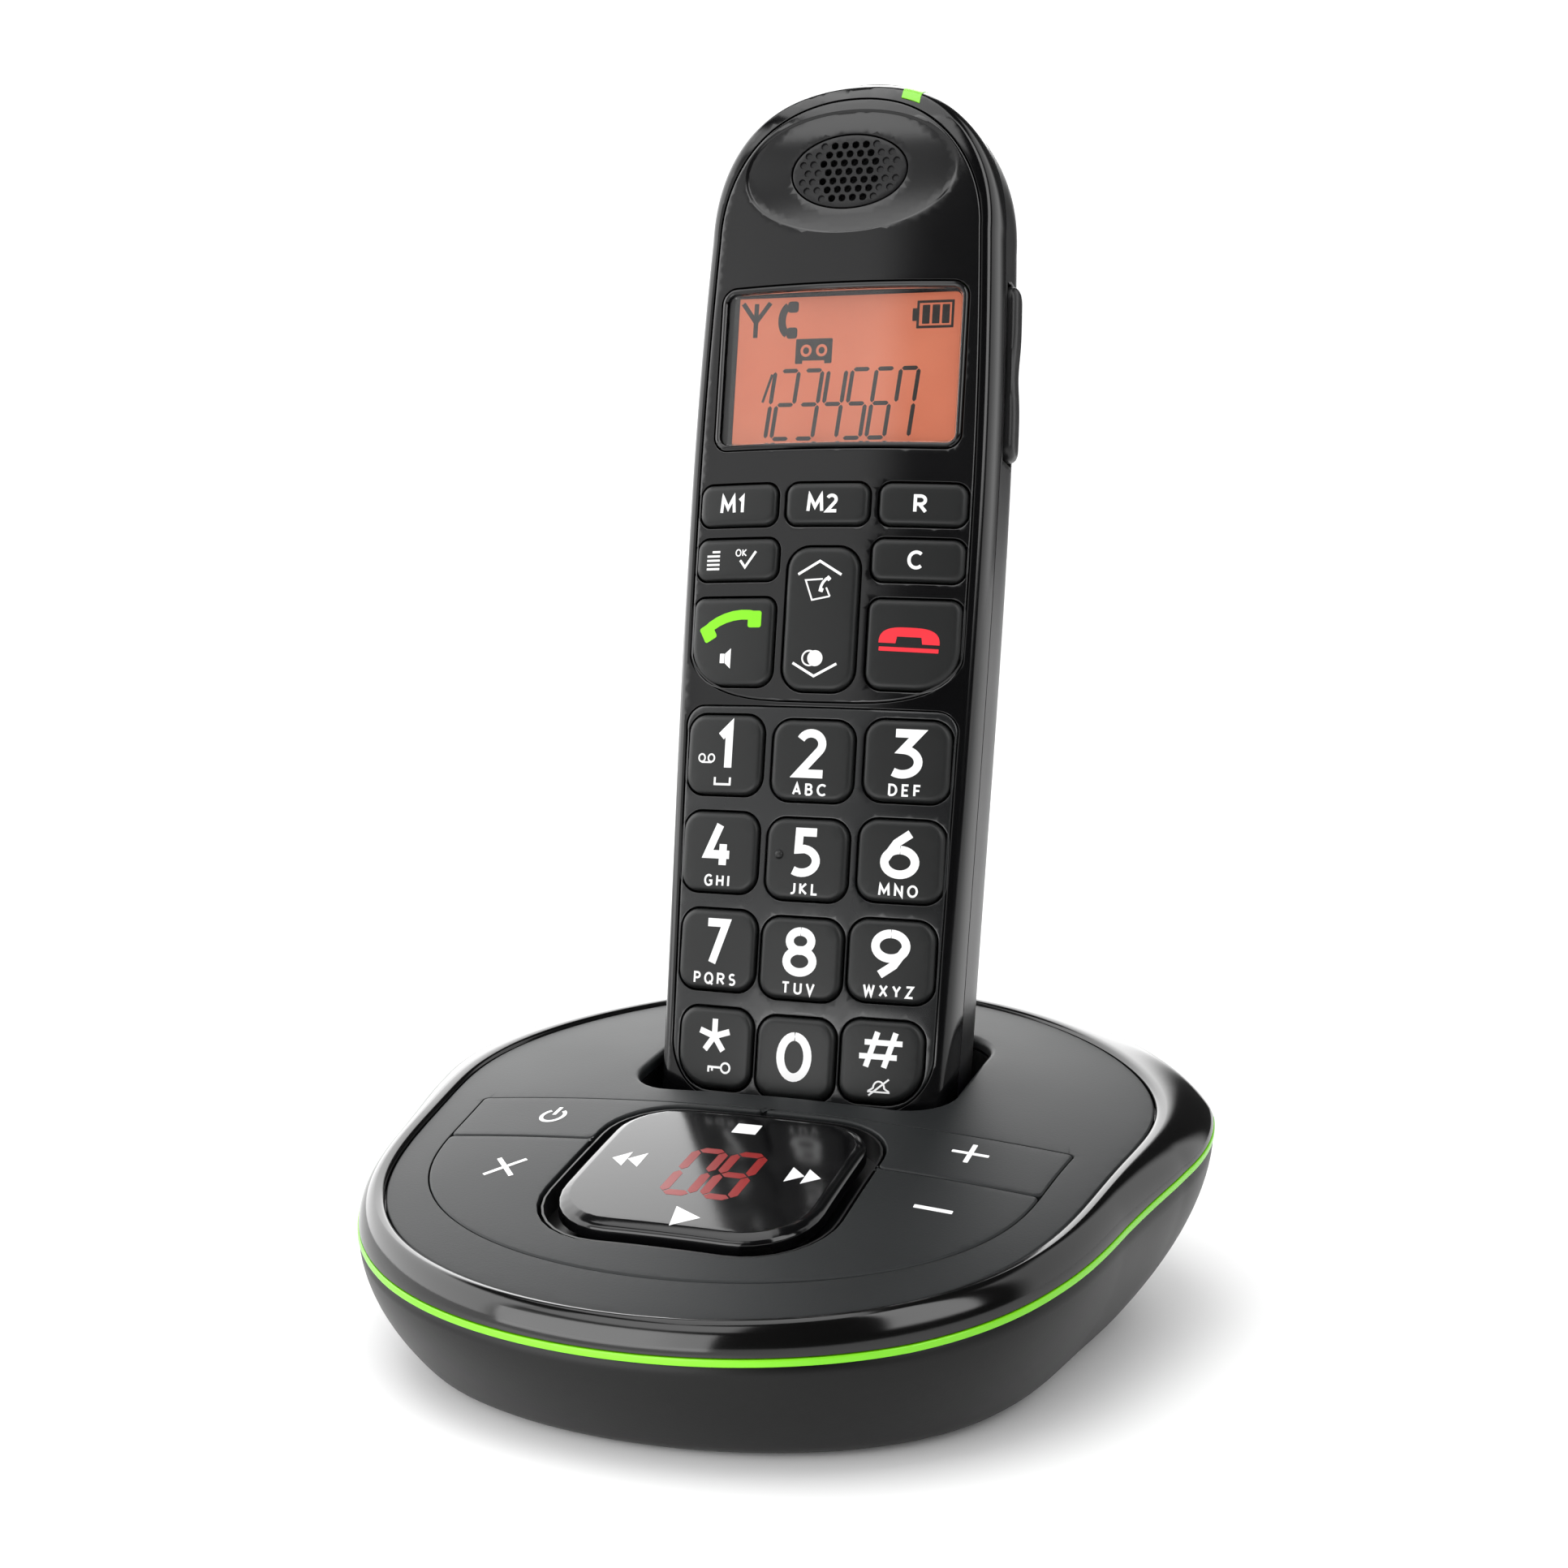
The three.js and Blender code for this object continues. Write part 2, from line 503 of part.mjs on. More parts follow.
// rear shell, battery bay and door
let rearShell = outer.intersect(rearHalf).subtract(inner);
const doorOutline = roundRect(-DOOR_HALF_W, DOOR_LOW, DOOR_HALF_W, DOOR_HIGH, 3);
rearShell = rearShell.subtract(prism(grown(doorOutline, CLEAR), HS_DEPTH - 6, HS_DEPTH + 5, 'y'));
const sideRockerHole = (g) => box(HS_HALF_WIDTH - 5, 9.6 - g, SIDE_ROCKER_LOW - g, HS_HALF_WIDTH + 5, 9.6 + SIDE_ROCKER_T + g, SIDE_ROCKER_HIGH + g);
rearShell = rearShell.subtract(sideRockerHole(CLEAR + 0.1));
for (const s of [-1, 1]) rearShell = rearShell.subtract(box(s * PAD_X - 2, PAD_Y - 2.8, -3, s * PAD_X + 2, PAD_Y + 2.8, HS_WALL + 1));
add(handsetParts, 'rear_shell', rearShell, M.satinBlack);
const door = outer.subtract(outer.translate([0, -(HS_WALL - 0.2), 0])).intersect(prism(doorOutline, HS_DEPTH - 5, HS_DEPTH + 5, 'y'));
add(handsetParts, 'battery_door', door, M.satinBlack);
const bayW = 2 * CELL_R + 0.5 + CLEAR;
const bayBack = HS_DEPTH - HS_WALL - 1.4;
const bay = box(-bayW - 4, CELL_Y - CELL_R - CLEAR - 1, CELL_LOW - 2, bayW + 4, bayBack, CELL_LOW + CELL_L + 2)
  .subtract(box(-bayW, CELL_Y - CELL_R - CLEAR, CELL_LOW - CLEAR, bayW, bayBack + 3, CELL_LOW + CELL_L + CLEAR));
add(handsetParts, 'battery_holder', bay, M.satinBlack);
for (const [name, s] of [['battery_left', -1], ['battery_right', 1]]) {
  const g = new THREE.CylinderGeometry(CELL_R, CELL_R, CELL_L, 16);
  g.rotateX(Math.PI / 2);
  g.translate(s * (CELL_R + 0.25), CELL_Y, CELL_LOW + CELL_L / 2);
  add(handsetParts, name, solid(g), M.cell);
}

// volume rocker in the right side wall
const rockerFace = outer.translate([SIDE_ROCKER_PROUD, 0, 0]);
const sideRocker = sideRockerHole(0).intersect(rockerFace).intersect(box(HS_HALF_WIDTH - HS_WALL - 1.6, -FAR, -FAR, FAR, FAR, FAR));
add(handsetParts, 'side_volume_rocker', sideRocker, M.satinBlack);
for (const [name, s] of [['charge_pad_left', -1], ['charge_pad_right', 1]]) {
  add(handsetParts, name, box(s * PAD_X - 1.7, PAD_Y - 2.5, 0.2, s * PAD_X + 1.7, PAD_Y + 2.5, HS_WALL + 0.6), M.steel);
}

// ---------------------------------------------------------------- base shape
const N_BASE = 48;
const plateZ = (x, y) => PLATE_Z + SLOPE * (y - PLATE_REF) - DOME_X * x * x - DOME_Y * (y - PLATE_REF) ** 2;
const fourier = (cx, cy, a) => [
  cx.reduce((s, c, k) => s + c * Math.sin((k + 1) * a), 0),
  cy.reduce((s, c, k) => s + c * Math.cos(k * a), 0),
];
const ANGLES = Array.from({ length: N_BASE }, (_, i) => (2 * Math.PI * i) / N_BASE);

/** Point on the plate outline moved outwards by grow. */
function edgePoint(a, grow, cx = PLATE_X, cy = PLATE_Y) {
  const p = fourier(cx, cy, a);
  const q0 = fourier(cx, cy, a - 0.01);
  const q1 = fourier(cx, cy, a + 0.01);
  const tx = q1[0] - q0[0];
  const ty = q1[1] - q0[1];
  const l = Math.hypot(tx, ty);
  return [p[0] - (ty / l) * grow, p[1] + (tx / l) * grow];
}
const along = (table, y) => {
  if (y <= table[0][0]) return table[0][1];
  for (let i = 1; i < table.length; i++) {
    if (y <= table[i][0]) {
      return lerp(table[i - 1][1], table[i][1], (y - table[i - 1][0]) / (table[i][0] - table[i - 1][0]));
    }
  }
  return table[table.length - 1][1];
};
const rimReach = (y) => along(RIM_REACH, y);
const lineDrop = (y) => along(LINE_DROP, y);
const EDGE = ANGLES.map((a) => {
  const p = fourier(PLATE_X, PLATE_Y, a);
  const zp = plateZ(p[0], p[1]);
  const reach = rimReach(p[1]);
  return { a, zp, reach, zl: zp - lineDrop(p[1]) };
});
const SHELL_BOTTOM = FLOOR + FOOT_H;

/** Ring of the bowl: t runs from the accent line down to the floor. */
function bowlRing(t, inset = 0, lift = 0, topGap = 0) {
  return EDGE.map(({ a, reach, zl }) => {
    const grow = lerp(reach, -FOOTPRINT_INSET, Math.pow(t, 1.75)) - inset;
    const p = edgePoint(a, grow);
    return [p[0], p[1], lerp(zl - topGap, SHELL_BOTTOM + lift, t)];
  });
}
const bowlSteps = [0, 0.3, 0.6, 0.84, 1];
const lipGap = LINE_H / 2 + 0.15;
const bowlOut = bowlSteps.map((t) => bowlRing(t, 0, 0, lipGap));
const bowlIn = [...bowlSteps].map((t) => bowlRing(t, BASE_WALL, BASE_FLOOR_T, lipGap)).reverse();
let lowerShell = loftSolid([...bowlOut.reverse(), ...bowlIn.reverse()], true);

// a slab that follows the plate surface
const CENTRE = [0, -6];
const RADIAL = [0.02, 0.4, 0.7, 0.9, 1];
function surfaceRings(offset, share) {
  return RADIAL.map((s) => EDGE.map(({ a }) => {
    const p = edgePoint(a, 0);
    const x = CENTRE[0] + (p[0] - CENTRE[0]) * s * share;
    const y = CENTRE[1] + (p[1] - CENTRE[1]) * s * share;
    return [x, y, offset === null ? SHELL_BOTTOM + 3 : plateZ(x, y) + offset];
  }));
}
const plateSlab = (top, bottom, share = 1) => loftSolid([...surfaceRings(top, share), ...surfaceRings(bottom, share).reverse()]);

const baseParts = [];
// accent line between bowl and rim
const lineRing = EDGE.map(() => null);
const lineProfile = [[0.25, LINE_H / 2], [-2.0, LINE_H / 2], [-2.0, -LINE_H / 2], [0.25, -LINE_H / 2]];
add(baseParts, 'accent_line', loftSolid(lineProfile.map(([g, z]) => EDGE.map(({ a, reach, zl }) => [...edgePoint(a, reach + g), zl + z])), false), M.green);

// rim
const rimProfile = ({ reach, zp, zl }) => {
  const bottom = zl + lipGap;
  const ridge = zp + RIM_PROUD;
  return [
    [reach, bottom], [lerp(1.7, reach, 0.55), lerp(ridge, bottom, 0.3) + 0.2],
    [1.7, ridge], [CLEAR, zp - 0.2], [CLEAR, zp - PLATE_T - CLEAR],
    [-2.2, zp - PLATE_T - CLEAR], [-2.2, zp - PLATE_T - CLEAR - 1.5], [reach - BASE_WALL - 0.6, Math.min(zp - PLATE_T - CLEAR - 1.5, bottom - 0.8)],
    [reach - BASE_WALL - 0.6, bottom],
  ];
};
const rimCount = rimProfile(EDGE[0]).length;
const rimRings = Array.from({ length: rimCount }, (_, i) => EDGE.map((e) => {
  const [g, z] = rimProfile(e)[i];
  return [...edgePoint(e.a, g), z];
}));
add(baseParts, 'base_rim', loftSolid(rimRings, false), M.glossBlack);

// cradle cup, square to the leaning handset
const leanUp = (g) => g.rotate([-LEAN_DEG, 0, 0]);
const cupHalf = HS_HALF_WIDTH - HS_FOOT_INSET + 0.8 + CUP_SIDE;
const cupIn = roundRect(-cupHalf, -CUP_FRONT, cupHalf, HS_DEPTH + CUP_SIDE, [8, 8, 9, 9], 4);
const cupVoid = leanUp(prism(cupIn, -CLEAR, 60));
let cup = leanUp(prism(grown(cupIn, CUP_WALL), -CLEAR - CUP_WALL, 60)).subtract(cupVoid)
  .intersect(plateSlab(-PLATE_T - CLEAR, null, 0.97));
const contactSlot = (s, g) => leanUp(box(s * PAD_X - 1.2 - g, PAD_Y - 1.6 - g, -6, s * PAD_X + 1.2 + g, PAD_Y + 1.6 + g, -0.1 + g));
for (const s of [-1, 1]) cup = cup.subtract(contactSlot(s, CLEAR));
add(baseParts, 'cradle_cup', cup, M.satinBlack);
for (const [name, s] of [['charge_contact_left', -1], ['charge_contact_right', 1]]) {
  add(baseParts, name, contactSlot(s, 0), M.steel);
}

// top plate with openings for cup, keys and rocker
const padCurve = ANGLES.map((a) => fourier(PAD_CURVE_X, PAD_CURVE_Y, a));
const padSolid = (g) => loftSolid([-30, 60].map((z) => ANGLES.map((a) => [...edgePoint(a, g, PAD_CURVE_X, PAD_CURVE_Y), z])));
const corners = (d) => [ISLAND_R_FRONT + d, ISLAND_R_FRONT + d, ISLAND_R + d, ISLAND_R + d];
const moatOutline = roundRect(-ISLAND_A - MOAT, ISLAND_Y - ISLAND_B - MOAT, ISLAND_A + MOAT, ISLAND_Y + ISLAND_B + MOAT, corners(MOAT * 0.8), 4);
const islandOutline = roundRect(-ISLAND_A, ISLAND_Y - ISLAND_B, ISLAND_A, ISLAND_Y + ISLAND_B, corners(0), 4);
const moatWall = (g) => prism(grown(moatOutline, g), -40, 60);
const STRIP_IN = 13;
const keyZone = {
  power_key: (g) => padSolid(g).intersect(box(-70, ROW_SPLIT + 0.15 - g, -30, -STRIP_IN + g, ROW_REAR + g, 60)).subtract(moatWall(1.0 - g)),
  volume_up_key: (g) => padSolid(g).intersect(box(STRIP_IN - g, ROW_SPLIT + 0.15 - g, -30, 70, ROW_REAR + g, 60)).subtract(moatWall(1.0 - g)),
  delete_volume_down_rocker: (g) => padSolid(g).intersect(box(-70, -90, -30, 70, ROW_SPLIT - 0.15 + g, 60)).subtract(moatWall(1.0 - g)),
};
let plate = plateSlab(0, -PLATE_T).subtract(cupVoid).subtract(moatWall(0));
for (const zone of Object.values(keyZone)) plate = plate.subtract(zone(0));
add(baseParts, 'top_plate', plate, M.plate);
for (const [name, zone] of Object.entries(keyZone)) {
  add(baseParts, name, plateSlab(0.1, -BASE_KEY_T, 0.96).intersect(zone(-KEY_GAP)), M.plate);
}

// four-way rocker island on its gimbal ring, over the message display
const flat = (x, y, a, b, r) => roundRect(x - a, y - b, x + a, y + b, r);
add(baseParts, 'transport_rocker', plateSlab(ISLAND_PROUD, -1.4, 0.96).intersect(prism(islandOutline, -40, 60)), M.glossBlack);
const ISLAND_SLOPE = Math.atan(SLOPE - 2 * DOME_Y * (ISLAND_Y - PLATE_REF));
const slanted = (outline, bottom, top) => prism(outline.map(([x, y]) => [x, (y - ISLAND_Y) * Math.cos(ISLAND_SLOPE)]), bottom, top)
  .rotate([THREE.MathUtils.radToDeg(ISLAND_SLOPE), 0, 0]).translate([0, ISLAND_Y, plateZ(0, ISLAND_Y)]);
const WELL_TOP = -BASE_KEY_T - 1.3;
const WELL_T = 1.5;
const GIMBAL_A = 13.4;
const GIMBAL_B = 11.4;
const DISPLAY_A = 9.9;
const DISPLAY_B = 6.7;
const GIMBAL_TOP = -2.3;
const well = slanted(grown(moatOutline, 0.9), WELL_TOP - WELL_T, WELL_TOP)
  .add(slanted(roundRect(-11, ISLAND_Y + ISLAND_B + MOAT + 0.2, 11, ISLAND_Y + ISLAND_B + MOAT + 1.6, 0.2, 1), WELL_TOP - WELL_T, -PLATE_T - CLEAR - 0.75))
  .subtract(slanted(flat(0, ISLAND_Y, GIMBAL_A + 0.6, GIMBAL_B + 0.6, 1.6), WELL_TOP - WELL_T - 1, WELL_TOP + 1));
add(baseParts, 'rocker_well', well, M.satinBlack);
add(baseParts, 'rocker_gimbal', slanted(flat(0, ISLAND_Y, GIMBAL_A, GIMBAL_B, 1.2), WELL_TOP - WELL_T, GIMBAL_TOP)
  .subtract(slanted(flat(0, ISLAND_Y, DISPLAY_A + 0.7, DISPLAY_B + 0.7, 0.6), WELL_TOP - WELL_T - 1, GIMBAL_TOP + 1)), M.satinBlack);
const BOARD_Z = -7.4;
const BOARD_THICK = 1.6;
const pedestalTop = plateZ(0, ISLAND_Y) + WELL_TOP - WELL_T - 1.2;
add(baseParts, 'message_display', slanted(flat(0, ISLAND_Y, DISPLAY_A, DISPLAY_B, 0.6), WELL_TOP - WELL_T - 2.6, -2.1)
  .add(box(-DISPLAY_A + 2, ISLAND_Y - DISPLAY_B + 2.4, BOARD_Z + BOARD_THICK + CLEAR, DISPLAY_A - 2, ISLAND_Y + DISPLAY_B - 0.6, pedestalTop)), M.red);

// electronics and sockets
const post = (x, y, top, r = 2.2) => prism(ellipse(x, y, r, r, 8), SHELL_BOTTOM + 1, top);
const wellPostTop = plateZ(0, ISLAND_Y) + (WELL_TOP - WELL_T) / Math.cos(ISLAND_SLOPE) - CLEAR - 0.45;
let board = box(-30, -50, BOARD_Z, 30, -13, BOARD_Z + BOARD_THICK);
for (const s of [-1, 1]) board = board.subtract(post(s * (ISLAND_A - 1.5), ISLAND_Y, 0, 2.8));
add(baseParts, 'base_board', board, M.board);
for (const s of [-1, 1]) lowerShell = lowerShell.add(post(s * (ISLAND_A - 1.5), ISLAND_Y, wellPostTop));
for (const x of [-26, 26]) for (const y of [-45, -18]) lowerShell = lowerShell.add(post(x, y, BOARD_Z - CLEAR));
for (const x of [-20, 20]) lowerShell = lowerShell.add(post(x, 3, -7.0));
const jackAt = (x, w, h, g, y0, y1) => box(x - w / 2 - g, y0, JACK_Z - h / 2 - g, x + w / 2 + g, y1, JACK_Z + h / 2 + g);
const rearY = (() => {
  const low = JACK_Z - JACK_H / 2;
  const p = edgePoint(0.28, lerp(EDGE[0].reach, -FOOTPRINT_INSET, Math.pow((EDGE[0].zl - low) / (EDGE[0].zl - SHELL_BOTTOM), 1.75)));
  return p[1] + 1.4;
})();
lowerShell = lowerShell.subtract(jackAt(JACK_X, JACK_W, JACK_H, CLEAR, rearY - 2 - JACK_L, rearY + 10));
lowerShell = lowerShell.subtract(jackAt(DC_X, DC_W, DC_W, CLEAR, rearY - 2 - JACK_L, rearY + 10));
add(baseParts, 'base_shell', lowerShell, M.shell);
add(baseParts, 'line_socket', jackAt(JACK_X, JACK_W, JACK_H, 0, rearY - 1.6 - JACK_L, rearY - 1.6)
  .subtract(jackAt(JACK_X, JACK_W - 2.4, JACK_H - 2.6, 0, rearY - 1.6 - JACK_L + 1.4, rearY + 3)), M.satinBlack);
const dcHole = prism(ellipse(DC_X, JACK_Z, DC_HOLE_R, DC_HOLE_R, 12), rearY - 12, rearY + 4, 'y');
const dcPin = prism(ellipse(DC_X, JACK_Z, 0.7, 0.7, 8), rearY - 13, rearY - 2.6, 'y');
add(baseParts, 'power_socket', jackAt(DC_X, DC_W, DC_W, 0, rearY - 1.6 - JACK_L, rearY - 1.6).subtract(dcHole).add(dcPin), M.satinBlack);
const spk = prism(ellipse(30, 17, SPEAKER_R, SPEAKER_R, 20), SHELL_BOTTOM + BASE_FLOOR_T + CLEAR, SHELL_BOTTOM + BASE_FLOOR_T + 5);
add(baseParts, 'base_speaker', spk, M.steel);
for (const [name, x, y] of [['foot_front_left', -FOOT_X, FOOT_Y_FRONT], ['foot_front_right', FOOT_X, FOOT_Y_FRONT], ['foot_rear_left', -FOOT_X, FOOT_Y_REAR], ['foot_rear_right', FOOT_X, FOOT_Y_REAR]]) {
  add(baseParts, name, prism(ellipse(x, y, FOOT_R, FOOT_R, 16), FLOOR, SHELL_BOTTOM), M.rubber);
}

// ---------------------------------------------------------------- assembly
const root = new THREE.Group();
const stand = new THREE.Group();
root.add(stand);
const base = new THREE.Group();
const handset = new THREE.Group();
handset.rotation.x = -LEAN;
stand.add(base, handset);
for (const [group, parts] of [[base, baseParts], [handset, handsetParts]]) {
  for (const { name, body, material } of parts) {
    const mesh = new THREE.Mesh(geometryOf(body), material);
    mesh.name = name;
    group.add(mesh);
  }
}
// origin: middle of the bounding box, on the table
root.updateMatrixWorld(true);
const bounds = new THREE.Box3().setFromObject(stand, true);
stand.position.set(-(bounds.min.x + bounds.max.x) / 2, -(bounds.min.y + bounds.max.y) / 2, -bounds.min.z);

export default root;
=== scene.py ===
"""A cordless phone standing in its charging base with answering machine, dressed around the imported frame.

Sizes are in millimetres. The base is drawn in a level frame and the handset in one that leans back with it.
Both frames start at the middle of the lower edge of the docked handset's front.
"""
import json
import logging
import math
from dataclasses import dataclass
from enum import Enum
from typing import Callable, Sequence

import bmesh
import bpy
import numpy as np
from mathutils import Matrix, Vector
from mathutils.geometry import delaunay_2d_cdt
from mathutils.kdtree import KDTree


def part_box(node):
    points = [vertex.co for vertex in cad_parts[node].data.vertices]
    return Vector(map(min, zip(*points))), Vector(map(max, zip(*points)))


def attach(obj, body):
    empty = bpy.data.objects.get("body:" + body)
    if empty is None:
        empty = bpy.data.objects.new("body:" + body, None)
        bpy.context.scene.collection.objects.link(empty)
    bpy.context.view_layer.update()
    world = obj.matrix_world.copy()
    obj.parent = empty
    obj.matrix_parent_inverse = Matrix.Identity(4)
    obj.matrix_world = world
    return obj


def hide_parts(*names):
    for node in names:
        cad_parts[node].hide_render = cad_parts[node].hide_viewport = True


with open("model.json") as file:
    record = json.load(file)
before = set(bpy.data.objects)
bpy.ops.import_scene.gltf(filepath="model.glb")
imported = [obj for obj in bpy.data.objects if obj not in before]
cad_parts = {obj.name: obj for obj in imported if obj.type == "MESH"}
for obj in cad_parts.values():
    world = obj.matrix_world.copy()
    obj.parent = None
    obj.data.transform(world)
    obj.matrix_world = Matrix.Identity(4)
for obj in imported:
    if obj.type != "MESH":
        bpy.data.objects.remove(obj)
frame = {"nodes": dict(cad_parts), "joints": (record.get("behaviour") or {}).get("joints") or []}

LOG = logging.getLogger("cordless_phone")
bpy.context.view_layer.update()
MM = 0.001

Loop = np.ndarray                                    # closed outline, anticlockwise, columns across and up
Path = Sequence[tuple]                               # stroke: (x, y) points, (x, y, rx, ry, from, to) arcs
Surface = Callable[[np.ndarray], np.ndarray]         # (across, up, depth) rows to points of a maker's frame
Profile = Sequence[tuple[float, float]]              # edge shape: how far inside the outline, how deep


# ---------------------------------------------------------------- frames
@dataclass(frozen=True)
class Place:
    """Where a maker's frame stands in the row frame."""

    lean: float
    offset: tuple[float, float, float]

    def __call__(self, points: np.ndarray) -> np.ndarray:
        """Move points out of the maker's frame.

        Args:
            points: rows of x, y, z in millimetres.

        Returns:
            The same points in the row frame, in metres.
        """
        x, y, z = np.asarray(points, float).T
        c, s = math.cos(self.lean), math.sin(self.lean)
        turned = np.stack([x, y * c + z * s, z * c - y * s], axis=1)
        return (turned + np.array(self.offset)) * MM


FOOT_X = 28.0            # feet of the base, from the middle of the docked handset's front edge
FOOT_Y_FRONT = -42.0
FLOOR_DROP = 16.8        # that edge above the table


def read_places() -> tuple[Place, Place]:
    """Read both makers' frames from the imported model.

    Returns:
        The base's frame and the handset's frame.
    """
    low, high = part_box("foot_front_left")
    middle = (low + high) / 2 / MM
    offset = (middle.x + FOOT_X, middle.y - FOOT_Y_FRONT, low.z / MM + FLOOR_DROP)
    lift = next(joint for joint in frame["joints"] if joint["name"] == "handset_lift")
    axis = lift["axis"]
    return Place(0.0, offset), Place(math.atan2(axis[1], axis[2]), offset)


BASE, HANDSET = read_places()


# ---------------------------------------------------------------- outlines
def lerp(a: float, b: float, t: float) -> float:
    """Return the value a share t of the way from a to b."""
    return a + (b - a) * t


def smooth(t: np.ndarray) -> np.ndarray:
    """Return the smooth step of t, from 0 to 1."""
    x = np.clip(t, 0.0, 1.0)
    return x * x * (3 - 2 * x)


def arc(cx: float, cy: float, rx: float, ry: float, start: float, end: float, steps: int = 0) -> Loop:
    """Make an elliptic arc.

    Args:
        cx, cy: its centre.
        rx, ry: its radii.
        start, end: angles in degrees.
        steps: number of stretches, or 0 for one each 12 degrees.

    Returns:
        Its points.
    """
    steps = steps or max(2, round(abs(end - start) / 12))
    a = np.radians(np.linspace(start, end, steps + 1))
    return np.stack([cx + rx * np.cos(a), cy + ry * np.sin(a)], axis=1)


def ellipse(cx: float, cy: float, a: float, b: float, count: int = 48) -> Loop:
    """Make a closed ellipse of count points."""
    return arc(cx, cy, a, b, 0, 360, count)[:-1]


def round_rect(
    x0: float, y0: float, x1: float, y1: float, radii: Sequence[float] | float, step: float = 1.0
) -> Loop:
    """Make a rectangle with round corners and even points along its sides.

    Args:
        x0, y0, x1, y1: its lower left and upper right corners.
        radii: one radius, or four from the lower left corner anticlockwise.
        step: greatest distance between points on a side.

    Returns:
        The outline.
    """
    r = list(radii) if isinstance(radii, (list, tuple)) else [radii] * 4
    parts = [
        arc(x0 + r[0], y0 + r[0], r[0], r[0], 180, 270, 8),
        arc(x1 - r[1], y0 + r[1], r[1], r[1], 270, 360, 8),
        arc(x1 - r[2], y1 - r[2], r[2], r[2], 0, 90, 8),
        arc(x0 + r[3], y1 - r[3], r[3], r[3], 90, 180, 8),
    ]
    return divided(np.concatenate(parts), step)


def divided(loop: Loop, step: float) -> Loop:
    """Put points on a closed outline's long stretches, so that none is longer than step."""
    out = []
    for here, there in zip(loop, np.roll(loop, -1, axis=0)):
        parts = max(1, math.ceil(np.hypot(*(there - here)) / step))
        out.extend(here + (there - here) * k / parts for k in range(parts))
    return np.array(out)


def grown(loop: Loop, by: float | np.ndarray) -> Loop:
    """Move an outline outwards by a distance, one for all or one a point; a negative one moves it inwards."""
    before = loop - np.roll(loop, 1, axis=0)
    after = np.roll(loop, -1, axis=0) - loop
    before /= np.maximum(1e-9, np.hypot(*before.T))[:, None]
    after /= np.maximum(1e-9, np.hypot(*after.T))[:, None]
    normal = np.stack([before[:, 1] + after[:, 1], -before[:, 0] - after[:, 0]], axis=1)
    length = np.maximum(1e-6, np.hypot(*normal.T))[:, None]
    return loop + normal / length * np.reshape(by, (-1, 1)) / np.maximum(0.5, length / 2)


def softened(loop: Loop, radius: float) -> Loop:
    """Round an outline's sharp corners.

    Args:
        loop: the outline.
        radius: how far before and after a corner the round begins.

    Returns:
        The new outline.
    """
    way = np.roll(loop, -1, axis=0) - loop
    angle = np.arctan2(way[:, 1], way[:, 0])
    turn = (angle - np.roll(angle, 1) + math.pi) % (2 * math.pi) - math.pi
    corners = loop[np.abs(turn) > 0.5]
    out, k = [], 0
    for i, point in enumerate(loop):
        near = np.hypot(*(corners - point).T) if len(corners) else np.array([radius])
        if near.min() >= radius:
            out.append(point)
        elif abs(turn[i]) > 0.5:
            before = loop[i - 1] - point
            after = loop[(i + 1) % len(loop)] - point
            a = point + before / np.hypot(*before) * radius
            b = point + after / np.hypot(*after) * radius
            for t in np.linspace(0, 1, 7):
                out.append((1 - t) ** 2 * a + 2 * t * (1 - t) * point + t**2 * b)
    return np.array(out)


def contains(loop: Loop, points: np.ndarray) -> np.ndarray:
    """Tell which points lie inside a closed outline.

    Args:
        loop: the outline.
        points: rows of x, y.

    Returns:
        One truth value a point.
    """
    inside = np.zeros(len(points), bool)
    x, y = points.T
    for (ax, ay), (bx, by) in zip(loop, np.roll(loop, -1, axis=0)):
        if ay == by:
            continue
        crosses = (ay > y) != (by > y)
        inside ^= crosses & (x < ax + (y - ay) * (bx - ax) / (by - ay))
    return inside


def within(loops: Sequence[Loop], points: np.ndarray) -> np.ndarray:
    """Tell which points lie inside at least one outline."""
    found = np.zeros(len(points), bool)
    for loop in loops:
        found |= contains(loop, points)
    return found


@dataclass
class Region:
    """A flat area in triangles, and where its outlines' points went."""

    points: np.ndarray
    triangles: list[tuple[int, int, int]]
    index: list[int]

    @classmethod
    def cut(
        cls, loops: Sequence[Loop], inside: Callable[[np.ndarray], np.ndarray], spacing: float = 0.0
    ) -> "Region":
        """Cut the area out of the plane along outlines that may cross.

        Args:
            loops: the outlines.
            inside: tells which points belong to the area.
            spacing: distance of the extra points that let the area bend, or 0 for none.

        Returns:
            The area.
        """
        points = np.concatenate(loops)
        edges, start = [], 0
        for loop in loops:
            edges += [(start + i, start + (i + 1) % len(loop)) for i in range(len(loop))]
            start += len(loop)
        extra = inner_points(points, inside, spacing) if spacing else np.zeros((0, 2))
        every = np.concatenate([points, extra])
        found = delaunay_2d_cdt([Vector(p) for p in every], edges, [], 0, 1e-6)
        flat = np.array([tuple(p) for p in found[0]])
        triangles = [tuple(face) for face in found[2]]
        keep = inside(flat[np.array(triangles)].mean(axis=1))
        index = [0] * len(every)
        for new, olds in enumerate(found[3]):
            for old in olds:
                index[old] = new
        return cls(flat, [t for t, k in zip(triangles, keep) if k], index)

    def outlines(self) -> list[Loop]:
        """Return the area's edges as closed outlines, the outer one anticlockwise and holes clockwise."""
        rim = {(t[k], t[(k + 1) % 3]) for t in self.triangles for k in range(3)}
        follow = {a: b for a, b in rim if (b, a) not in rim}
        loops = []
        while follow:
            start, here = follow.popitem()
            chain = [start]
            while here != start:
                chain.append(here)
                here = follow.pop(here)
            loops.append(self.points[chain])
        return loops


